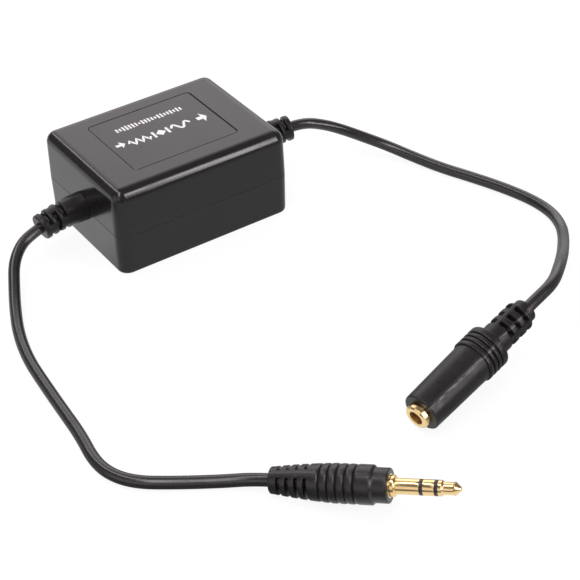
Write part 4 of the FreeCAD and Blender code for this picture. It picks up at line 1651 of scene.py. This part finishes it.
@dataclass
class LabelPrint:
    """Plain white signs printed on the label: where sound goes in, what cleans it, where it goes out.

    signs holds each sign with its middle along and across the label, its width and its height.
    """

    surface: float = 24.6
    ink: float = 0.02
    stroke: float = 0.68
    signs: tuple[tuple[Sign, float, float, float, float], ...] = (
        (Sign.ARROW, -12.5, 0.6, 2.7, 3.3),
        (Sign.ZIGZAG, -7.2, -0.2, 6.2, 3.2),
        (Sign.DIAMOND, -0.9, -0.2, 4.8, 2.9),
        (Sign.SMOOTH_WAVE, 5.1, -0.2, 5.6, 3.2),
        (Sign.ARROW, 11.5, -0.2, 3.0, 4.6),
    )
    arrow_neck: float = 0.02
    arrow_shaft: float = 0.16
    zigzag_cycles: float = 3.0
    wave_cycles: float = 1.5
    wave_steps: int = 60
    bar_count: int = 21
    bar_pitch: float = 0.96
    bar_width: float = 0.52
    bar_height: float = 2.3
    bar_scale: Span = (0.3, 1.0)
    bar_seed: int = 11
    bars_start: Span = (-9.9, 7.2)

    def ribbon(self, path: Sequence[Span]) -> Shape:
        """Gives a flat stroke along a path.

        Args:
            path: Points on the label, in millimetres.

        Returns:
            Points and faces of a thin closed solid.
        """
        points: list[Vector] = []
        faces: list[list[int]] = []
        for index, place in enumerate(path):
            before = Vector(path[max(index - 1, 0)])
            after = Vector(path[min(index + 1, len(path) - 1)])
            along = (after - before).normalized()
            side = Vector((-along.y, along.x)) * self.stroke / 2
            for offset, height in ((side, 0), (side, self.ink), (-side, self.ink), (-side, 0)):
                spot = Vector(place) + offset
                points.append(Vector((spot.x, spot.y, self.surface + height)) * MM)
        for index in range(len(path) - 1):
            low = 4 * index
            for corner in range(4):
                following = (corner + 1) % 4
                faces.append([low + corner, low + 4 + corner, low + 4 + following, low + following])
        last = 4 * (len(path) - 1)
        faces.append([0, 1, 2, 3])
        faces.append([last + 3, last + 2, last + 1, last])
        return points, faces

    def plate(self, outline: Sequence[Span]) -> Shape:
        """Gives a flat filled shape.

        Args:
            outline: Its corners, anticlockwise, in millimetres.

        Returns:
            Points and faces of a thin closed solid.
        """
        count = len(outline)
        points = [Vector((x, y, self.surface)) * MM for x, y in outline]
        points += [Vector((x, y, self.surface + self.ink)) * MM for x, y in outline]
        faces = [list(range(count))[::-1], list(range(count, 2 * count))]
        for index in range(count):
            following = (index + 1) % count
            faces.append([index, following, count + following, count + index])
        return points, faces

    def wave(
        self, x: float, y: float, width: float, height: float, cycles: float, steps: int
    ) -> Shape:
        """Gives a stroke that swings up and down.

        Args:
            x: Its middle along the label.
            y: Its middle across the label.
            width: Its width.
            height: Its height.
            cycles: How many times it swings.
            steps: How many straight parts it has.

        Returns:
            Points and faces of a thin closed solid.
        """
        path = []
        for step in range(steps + 1):
            share = step / steps
            rise = math.sin(2 * math.pi * cycles * share)
            path.append((x + (share - 0.5) * width, y + rise * (height - self.stroke) / 2))
        return self.ribbon(path)

    def shapes(self, sign: Sign, x: float, y: float, width: float, height: float) -> list[Shape]:
        """Gives the shapes of one sign.

        Args:
            sign: Which sign.
            x: Its middle along the label.
            y: Its middle across the label.
            width: Its width.
            height: Its height.

        Returns:
            Points and faces of each thin closed solid.
        """
        half = height / 2
        if sign is Sign.ARROW:
            left, right, neck = x - width / 2, x + width / 2, x + width * self.arrow_neck
            thick = height * self.arrow_shaft
            lower = [(left, y - thick), (neck, y - thick), (neck, y - half)]
            upper = [(neck, y + half), (neck, y + thick), (left, y + thick)]
            return [self.plate([*lower, (right, y), *upper])]
        if sign is Sign.DIAMOND:
            diamond = [(x, y - half), (x + half, y), (x, y + half), (x - half, y)]
            sides = [x + side * (width - self.stroke) / 2 for side in (-1, 1)]
            bars = [self.ribbon([(bar, y - half), (bar, y + half)]) for bar in sides]
            return [self.plate(diamond), *bars]
        if sign is Sign.ZIGZAG:
            corners = round(4 * self.zigzag_cycles)
            return [self.wave(x, y, width, height, self.zigzag_cycles, corners)]
        return [self.wave(x, y, width, height, self.wave_cycles, self.wave_steps)]

    def level_bars_tree(self) -> Tree:
        """Geometry tree of a row of upright bars of changing height.

        Returns:
            The tree, with named inputs for its sizes.
        """
        sizes = {"Pitch": "Float", "Bar": "Vector", "Low": "Float", "High": "Float", "Seed": "Int"}
        bench, outer, inner = new_group(
            "level_bars",
            "GeometryNodeTree",
            {"Geometry": "Geometry", "Count": "Int", "Start": "Vector", **sizes, "Ink": "Material"},
            {"Geometry": "Geometry"},
        )
        line = row_of_points(bench, outer, "Count", "X")
        bar = bench.add("GeometryNodeMeshCube", {"Size": outer.outputs["Bar"]}).outputs[0]
        chance = bench.add(
            "FunctionNodeRandomValue",
            {2: outer.outputs["Low"], 3: outer.outputs["High"], "Seed": outer.outputs["Seed"]},
            data_type="FLOAT",
        )
        size = bench.add("ShaderNodeCombineXYZ", {"X": 1.0, "Y": chance.outputs[1], "Z": 1.0})
        repeat_on_points(bench, inner, line, bar, outer.outputs["Ink"], size.outputs[0])
        return bench.tree

    def build(self, rack: FinishRack) -> None:
        """Prints the signs.

        Args:
            rack: The finishes.
        """
        ink = rack.get(PRINT_INK)
        points: list[Vector] = []
        faces: list[list[int]] = []
        for sign in self.signs:
            for more_points, more_faces in self.shapes(*sign):
                start = len(points)
                points += more_points
                faces += [[start + corner for corner in face] for face in more_faces]
        put(new_object("label_signs", points, faces, ink, sharp=20))
        low, high = self.bar_scale
        x, y = self.bars_start
        values = {
            "Count": self.bar_count,
            "Start": (x * MM, y * MM, (self.surface + self.ink / 2) * MM),
            "Pitch": self.bar_pitch * MM,
            "Bar": (self.bar_width * MM, self.bar_height * MM, self.ink * MM),
            "Low": low,
            "High": high,
            "Seed": self.bar_seed,
            "Ink": ink,
        }
        put(run_geometry_tree("label_level_bars", [], self.level_bars_tree(), values, ink))


@dataclass
class CaseInside:
    """What is sealed in the case: wound transformers and the board's solder joints."""

    spacing: float = 14.0
    board_top: float = 6.1
    turns: int = 15
    low: float = 8.8
    high: float = 15.4
    loop_x: float = 8.0
    loop_y: float = 10.2
    loop_corner: float = 0.8
    wire: float = 0.2
    wire_sides: int = 8
    foot_reach: float = 16.45
    foot_pitch: float = 1.1
    joint_height: float = 0.3
    joint_foot: float = 0.5
    joint_top: float = 0.46
    joint_sides: int = 16

    def winding_tree(self) -> Tree:
        """Geometry tree of a stack of wire turns.

        Returns:
            The tree, with named inputs for its sizes.
        """
        lengths = dict.fromkeys(("Pitch", "Length", "Width", "Corner", "Wire"), "Float")
        bench, outer, inner = new_group(
            "wire_turns",
            "GeometryNodeTree",
            {"Geometry": "Geometry", "Turns": "Int", "Start": "Vector", **lengths, "Enamel": "Material"},
            {"Geometry": "Geometry"},
        )
        line = row_of_points(bench, outer, "Turns", "Z")
        loop = bench.add(
            "GeometryNodeCurvePrimitiveQuadrilateral",
            {0: outer.outputs["Length"], 1: outer.outputs["Width"]},
        )
        eased = bench.add(
            "GeometryNodeFilletCurve", {"Curve": loop.outputs[0], "Radius": outer.outputs["Corner"]}
        )
        section = bench.add(
            "GeometryNodeCurvePrimitiveCircle",
            {"Resolution": self.wire_sides, "Radius": outer.outputs["Wire"]},
        )
        turn = bench.add(
            "GeometryNodeCurveToMesh", {"Curve": eased.outputs[0], "Profile Curve": section.outputs[0]}
        )
        repeat_on_points(bench, inner, line, turn.outputs[0], outer.outputs["Enamel"])
        return bench.tree

    def solder_tree(self) -> Tree:
        """Geometry tree that puts a solder cone on each point.

        Returns:
            The tree, with named inputs for its sizes.
        """
        lengths = dict.fromkeys(("Foot", "Top", "Height"), "Float")
        bench, outer, inner = new_group(
            "solder_joints",
            "GeometryNodeTree",
            {"Geometry": "Geometry", **lengths, "Solder": "Material"},
            {"Geometry": "Geometry"},
        )
        cone = bench.add(
            "GeometryNodeMeshCone",
            {
                "Vertices": self.joint_sides,
                "Radius Top": outer.outputs["Top"],
                "Radius Bottom": outer.outputs["Foot"],
                "Depth": outer.outputs["Height"],
            },
        )
        points = outer.outputs["Geometry"]
        repeat_on_points(bench, inner, points, cone.outputs[0], outer.outputs["Solder"])
        return bench.tree

    def wind(self, rack: FinishRack) -> None:
        """Makes the windings.

        Args:
            rack: The finishes.
        """
        enamel = rack.get(ENAMEL_WIRE)
        tree = self.winding_tree()
        pitch = (self.high - self.low) / self.turns
        for channel, side in (("left", 1), ("right", -1)):
            values = {
                "Turns": self.turns,
                "Start": (0.0, side * self.spacing / 2 * MM, (self.low + pitch / 2) * MM),
                "Pitch": pitch * MM,
                "Length": self.loop_x * MM,
                "Width": self.loop_y * MM,
                "Corner": self.loop_corner * MM,
                "Wire": self.wire * MM,
                "Enamel": enamel,
            }
            piece = run_geometry_tree(f"winding_turns_{channel}", [], tree, values, enamel)
            put(piece, f"transformer_winding_{channel}")

    def solder(self, rack: FinishRack) -> None:
        """Makes the solder joints at the wires' feet.

        Args:
            rack: The finishes.
        """
        tin = rack.get(TINNED)
        height = self.board_top + self.joint_height / 2
        feet = [
            Vector((side * self.foot_reach, row * self.foot_pitch, height)) * MM
            for side in (-1, 1)
            for row in (-1, 0, 1)
        ]
        values = {
            "Foot": self.joint_foot * MM,
            "Top": self.joint_top * MM,
            "Height": self.joint_height * MM,
            "Solder": tin,
        }
        put(run_geometry_tree("solder_joints", feet, self.solder_tree(), values, tin))

    def build(self, rack: FinishRack) -> None:
        """Makes the windings and the solder joints."""
        self.wind(rack)
        self.solder(rack)


@dataclass
class CadDressing:
    """Finishes of the CAD nodes that stay as they are."""

    nodes: dict[str, Thing]

    def finishes(self) -> dict[str, Finish]:
        """Gives each shown node its finish.

        Returns:
            Node name to finish.
        """
        table: dict[str, Finish] = {
            "case_top": CASE_GLOSS,
            "case_bottom": CASE_GLOSS,
            "label_plate": LABEL_FILM,
            "circuit_board": SOLDER_MASK,
            "plug_inner_mould": PALE_MOULD,
            "plug_ring_insulator": BLACK_RINGS,
            "plug_tip_insulator": BLACK_RINGS,
            "jack_socket": BLACK_RINGS,
            "jack_inner_mould": PALE_MOULD,
        }
        for channel in ("left", "right"):
            table[f"transformer_core_{channel}"] = CORE_SHEETS
            table[f"transformer_bobbin_{channel}"] = BOBBIN_NYLON
            table[f"transformer_pins_{channel}"] = TINNED
        for end in ("in", "out"):
            table[f"wire_{end}_left"] = WIRE_WHITE
            table[f"wire_{end}_right"] = WIRE_RED
            table[f"wire_{end}_ground"] = WIRE_BLACK
        for name in ("tip", "ring", "ground"):
            table[f"jack_contact_{name}"] = SPRING_BRASS
        return table

    def build(self, rack: FinishRack) -> None:
        """Puts the finishes on.

        Args:
            rack: The finishes.
        """
        for name, finish in self.finishes().items():
            node = self.nodes[name]
            if not node.material_slots:
                node.data.materials.append(rack.get(finish))
            for slot in node.material_slots:
                slot.material = rack.get(finish)
            LOG.info("dressed %s in %s", name, finish.name)


# Studio


@dataclass(frozen=True)
class SoftLight:
    """One square soft light, aimed at the object and left out of reflections."""

    name: str
    toward: Point
    distance: float
    size: float
    power: float
    aim: Point = (0.0, -0.045, 0.01)

    def build(self) -> None:
        """Makes the lamp."""
        data = bpy.data.lights.new(self.name, "AREA")
        data.shape = "SQUARE"
        data.size = self.size
        data.energy = self.power
        direction = Vector(self.toward).normalized()
        place = Matrix.Translation(Vector(self.aim) + direction * self.distance)
        lamp = link(self.name, data)
        lamp.matrix_world = place @ direction.to_track_quat("Z", "Y").to_matrix().to_4x4()
        lamp.visible_glossy = False
        LOG.info("lit %s", self.name)


@dataclass(frozen=True)
class SkyGlow:
    """One soft-edged glow of the surroundings, such as a softbox or a lit wall.

    right and left are angles about axis from its middle, and bottom and top places along axis on a
    unit sphere, each as (where it has faded out, where it is full).
    """

    toward: Point
    strength: float
    right: Span
    left: Span
    bottom: Span
    top: Span
    axis: Point = (0.0, 0.0, 1.0)

    def add(self, bench: NodeBench, place: Socket) -> Socket:
        """Adds the glow to the world.

        Args:
            bench: The world's bench.
            place: Direction in the world.

        Returns:
            Its strength's socket.
        """
        axis = Vector(self.axis)
        toward = Vector(self.toward)
        ahead = (toward - axis * toward.dot(axis)).normalized()
        turn = bench.maths("ARCTAN2", bench.dot(place, axis.cross(ahead)), bench.dot(place, ahead))
        height = bench.dot(place, axis)
        strength: Value = self.strength
        for value, (outer, inner) in (
            (turn, self.right),
            (turn, self.left),
            (height, self.bottom),
            (height, self.top),
        ):
            strength = bench.rise(value, outer, inner, 0.0, strength)
        return strength


@dataclass
class Studio:
    """Camera, floor, backdrop light and lamp.

    The floor's glow is what the object mirrors of it: a painted reflection, set patch by patch and darker
    in front of the case as painted shade in place of the case's shadow on the floor.
    Each edge is the stretch, in metres along X or Y, over which it changes from one level to the next.
    """

    camera_place: Point = (-178.25, -335.64, 255.44)
    azimuth: float = -32.687
    elevation: float = 36.885
    roll: float = -2.275
    focal_length: float = 105.23
    sensor: float = 36.0
    clip: Span = (0.01, 50.0)
    floor_size: float = 6.0
    floor_colour: Point = (0.82, 0.82, 0.82)
    floor_lift: float = 0.86
    floor_white: float = 1.05
    front_glow: float = 0.16
    near_glow: float = 0.58
    right_glow: float = 0.36
    far_glow: float = 0.94
    front_edge_y: Span = (-0.095, -0.05)
    right_edge_x: Span = (-0.005, 0.012)
    beside_edge_x: Span = (-0.038, -0.028)
    beside_edge_y: Span = (-0.1, -0.08)
    far_edge_y: Span = (-0.02, 0.0)
    room_level: float = 0.2
    tint: Point = (1.0, 0.94, 0.965)
    overhead: SoftLight = SoftLight("overhead", (0.05, 0.1, 1.0), distance=1.1, size=1.2, power=4.0)
    glows: tuple[SkyGlow, ...] = (
        SkyGlow((0.47, 0.88, 0.0), 1.65, (-0.9, -0.35), (0.75, 0.3), (0.0, 0.3), (0.93, 0.57)),
        SkyGlow((0.75, -0.66, 0.0), 11.0, (-0.44, -0.37), (-0.2, -0.3), (0.06, 0.15), (0.84, 0.66)),
        SkyGlow((-0.95, -0.3, 0.0), 0.75, (-0.75, -0.5), (0.7, 0.5), (-0.3, -0.1), (0.6, 0.5)),
        SkyGlow(
            (-0.26, 0.0, 0.965),
            5.0,
            (-0.12, -0.07),
            (0.12, 0.07),
            (0.0, 0.2),
            (0.88, 0.76),
            axis=(0.0, 1.0, 0.0),
        ),
        SkyGlow(
            (-0.287, -0.185, 0.935),
            5.8,
            (-0.2, -0.1),
            (0.2, 0.1),
            (-0.82, -0.62),
            (0.0, -0.2),
            axis=(0.62, 0.785, 0.0),
        ),
    )

    def camera(self) -> None:
        """Makes the camera at the photograph's viewing angle."""
        a = math.radians(self.azimuth)
        e = math.radians(self.elevation)
        back = Vector((math.sin(a) * math.cos(e), -math.cos(a) * math.cos(e), math.sin(e)))
        level = Vector((math.cos(a), math.sin(a), 0))
        upright = back.cross(level)
        roll = math.radians(self.roll)
        right = level * math.cos(roll) + upright * math.sin(roll)
        up = upright * math.cos(roll) - level * math.sin(roll)
        data = bpy.data.cameras.new("camera")
        data.lens = self.focal_length
        data.sensor_width = self.sensor
        data.clip_start, data.clip_end = self.clip
        item = link("camera", data)
        turn = Matrix((right, up, back)).transposed().to_4x4()
        item.matrix_world = Matrix.Translation(Vector(self.camera_place) * MM) @ turn
        bpy.context.scene.camera = item

    def floor_glow(self, bench: NodeBench) -> Socket:
        """Adds the painted reflection of the floor: the level at which the object mirrors each part of
        it, darker in front of the case as painted shade in place of the case's shadow.

        Args:
            bench: The floor's bench.

        Returns:
            The level's socket.
        """
        place = bench.add("ShaderNodeTexCoord").outputs["Object"]
        split = bench.add("ShaderNodeSeparateXYZ", {0: place})
        x, y = split.outputs["X"], split.outputs["Y"]
        # Painted shade: the low levels in front of the case stand in for its shadow on the floor.
        front = bench.rise(y, *self.front_edge_y, self.front_glow, self.near_glow)
        right = bench.rise(x, *self.right_edge_x, self.far_glow, self.right_glow)
        beside = bench.rise(x, *self.beside_edge_x, front, right)
        nearer = bench.rise(y, *self.beside_edge_y, beside, front)
        return bench.rise(y, *self.far_edge_y, nearer, self.far_glow)

    def floor(self) -> None:
        """Makes the pale floor, which shows white and keeps the object's shadow."""
        material, bench, surface = new_material("studio_floor")
        paper = bench.add("ShaderNodeBsdfDiffuse", {"Color": (*self.floor_colour, 1)})
        path = bench.add("ShaderNodeLightPath").outputs
        seen = path["Is Camera Ray"]
        mirrored = bench.maths("MAXIMUM", path["Is Glossy Ray"], path["Is Transmission Ray"])
        strength = bench.even(seen, self.floor_glow(bench), self.floor_white)
        white = bench.add("ShaderNodeEmission", {"Color": (1, 1, 1, 1), "Strength": strength})
        share = bench.maths("MAXIMUM", bench.maths("MULTIPLY", seen, self.floor_lift), mirrored)
        mixed = bench.add("ShaderNodeMixShader", {0: share, 1: paper.outputs[0], 2: white.outputs[0]})
        bench.feed(surface, mixed.outputs[0])
        half = self.floor_size / 2
        corners = [Vector((x * half, y * half, 0)) for x, y in ((-1, -1), (1, -1), (1, 1), (-1, 1))]
        new_object("studio_floor", corners, [[0, 1, 2, 3]], material)

    def world(self) -> None:
        """Makes the light all round: white to the camera, dim, with soft glows, to the object."""
        world = bpy.data.worlds.new("studio")
        world.use_nodes = True
        world.node_tree.nodes.clear()
        bench = NodeBench(world.node_tree)
        output = bench.add("ShaderNodeOutputWorld")
        place = bench.add("ShaderNodeTexCoord").outputs["Generated"]
        total: Value = self.room_level
        for glow in self.glows:
            total = bench.maths("ADD", total, glow.add(bench, place))
        room = bench.add("ShaderNodeBackground", {"Color": (*self.tint, 1), "Strength": total})
        white = bench.add("ShaderNodeBackground", {"Strength": 1.0})
        seen = bench.add("ShaderNodeLightPath").outputs["Is Camera Ray"]
        mixed = bench.add("ShaderNodeMixShader", {0: seen, 1: room.outputs[0], 2: white.outputs[0]})
        bench.feed(output.inputs["Surface"], mixed.outputs[0])
        bpy.context.scene.world = world

    def build(self) -> None:
        """Makes the floor and all that lights the object."""
        self.floor()
        self.world()
        self.overhead.build()
        bpy.context.scene.view_settings.view_transform = "Standard"


# Routes of the cords, in metres

IN_ROUTE: list[Point] = [
    (-0.038323, -0.000658, 0.010090),
    (-0.042398, -0.001087, 0.009169),
    (-0.0459, -0.0029, 0.0079),
    (-0.0491, -0.0061, 0.0062),
    (-0.0519, -0.0113, 0.0043),
    (-0.0551, -0.0177, 0.0026),
    (-0.0587, -0.0265, 0.0016),
    (-0.0612, -0.0366, 0.0015),
    (-0.0622, -0.0462, 0.0015),
    (-0.0631, -0.0563, 0.0015),
    (-0.0640, -0.0679, 0.0015),
    (-0.0656, -0.0768, 0.0015),
    (-0.0649, -0.0831, 0.0015),
    (-0.0616, -0.0886, 0.0015),
    (-0.0551, -0.0935, 0.0015),
    (-0.0467, -0.0991, 0.0015),
    (-0.040788, -0.103391, 0.002197),
    (-0.03803, -0.10662, 0.002869),
]
OUT_ROUTE: list[Point] = [
    (0.038323, -0.001348, 0.012278),
    (0.042204, -0.002186, 0.012762),
    (0.0483, -0.0032, 0.0104),
    (0.0533, -0.0050, 0.0078),
    (0.0578, -0.0089, 0.0056),
    (0.0625, -0.0138, 0.0034),
    (0.0660, -0.0205, 0.0020),
    (0.0692, -0.0291, 0.0015),
    (0.0730, -0.0379, 0.0015),
    (0.0765, -0.0470, 0.0015),
    (0.0790, -0.0564, 0.0015),
    (0.0791, -0.0639, 0.0015),
    (0.0761, -0.0709, 0.0024),
    (0.0711, -0.0772, 0.0042),
    (0.0650, -0.0836, 0.0072),
    (0.0599, -0.0888, 0.0104),
    (0.0536, -0.0946, 0.0130),
    (0.0470, -0.0999, 0.0143),
    (0.040497, -0.101449, 0.013356),
    (0.036665, -0.102243, 0.012524),
]


def main() -> None:
    """Dresses the frame and sets the studio."""
    logging.basicConfig(level=logging.INFO, format="%(message)s")
    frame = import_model()
    rack = FinishRack()
    studio = Studio()
    studio.camera()
    cords = [
        CordRun("cord_in_vinyl", "cord_in", IN_ROUTE, length=0.129, far_end="plug"),
        CordRun("cord_out_vinyl", "cord_out", OUT_ROUTE, length=0.144, far_end="connector"),
    ]
    curves = [cord.build(rack) for cord in cords]
    ends = [Plug().build(rack), Jack().build(rack)]
    for cord, curve, pieces in zip(cords, curves, ends):
        cord.declare(curve, pieces)
    StrainRelief(End.IN, turn=25.0).build(rack)
    StrainRelief(End.OUT, turn=120.0).build(rack)
    LabelPrint().build(rack)
    CaseInside().build(rack)
    CadDressing(frame["nodes"]).build(rack)
    studio.build()


if __name__ == "__main__":
    main()
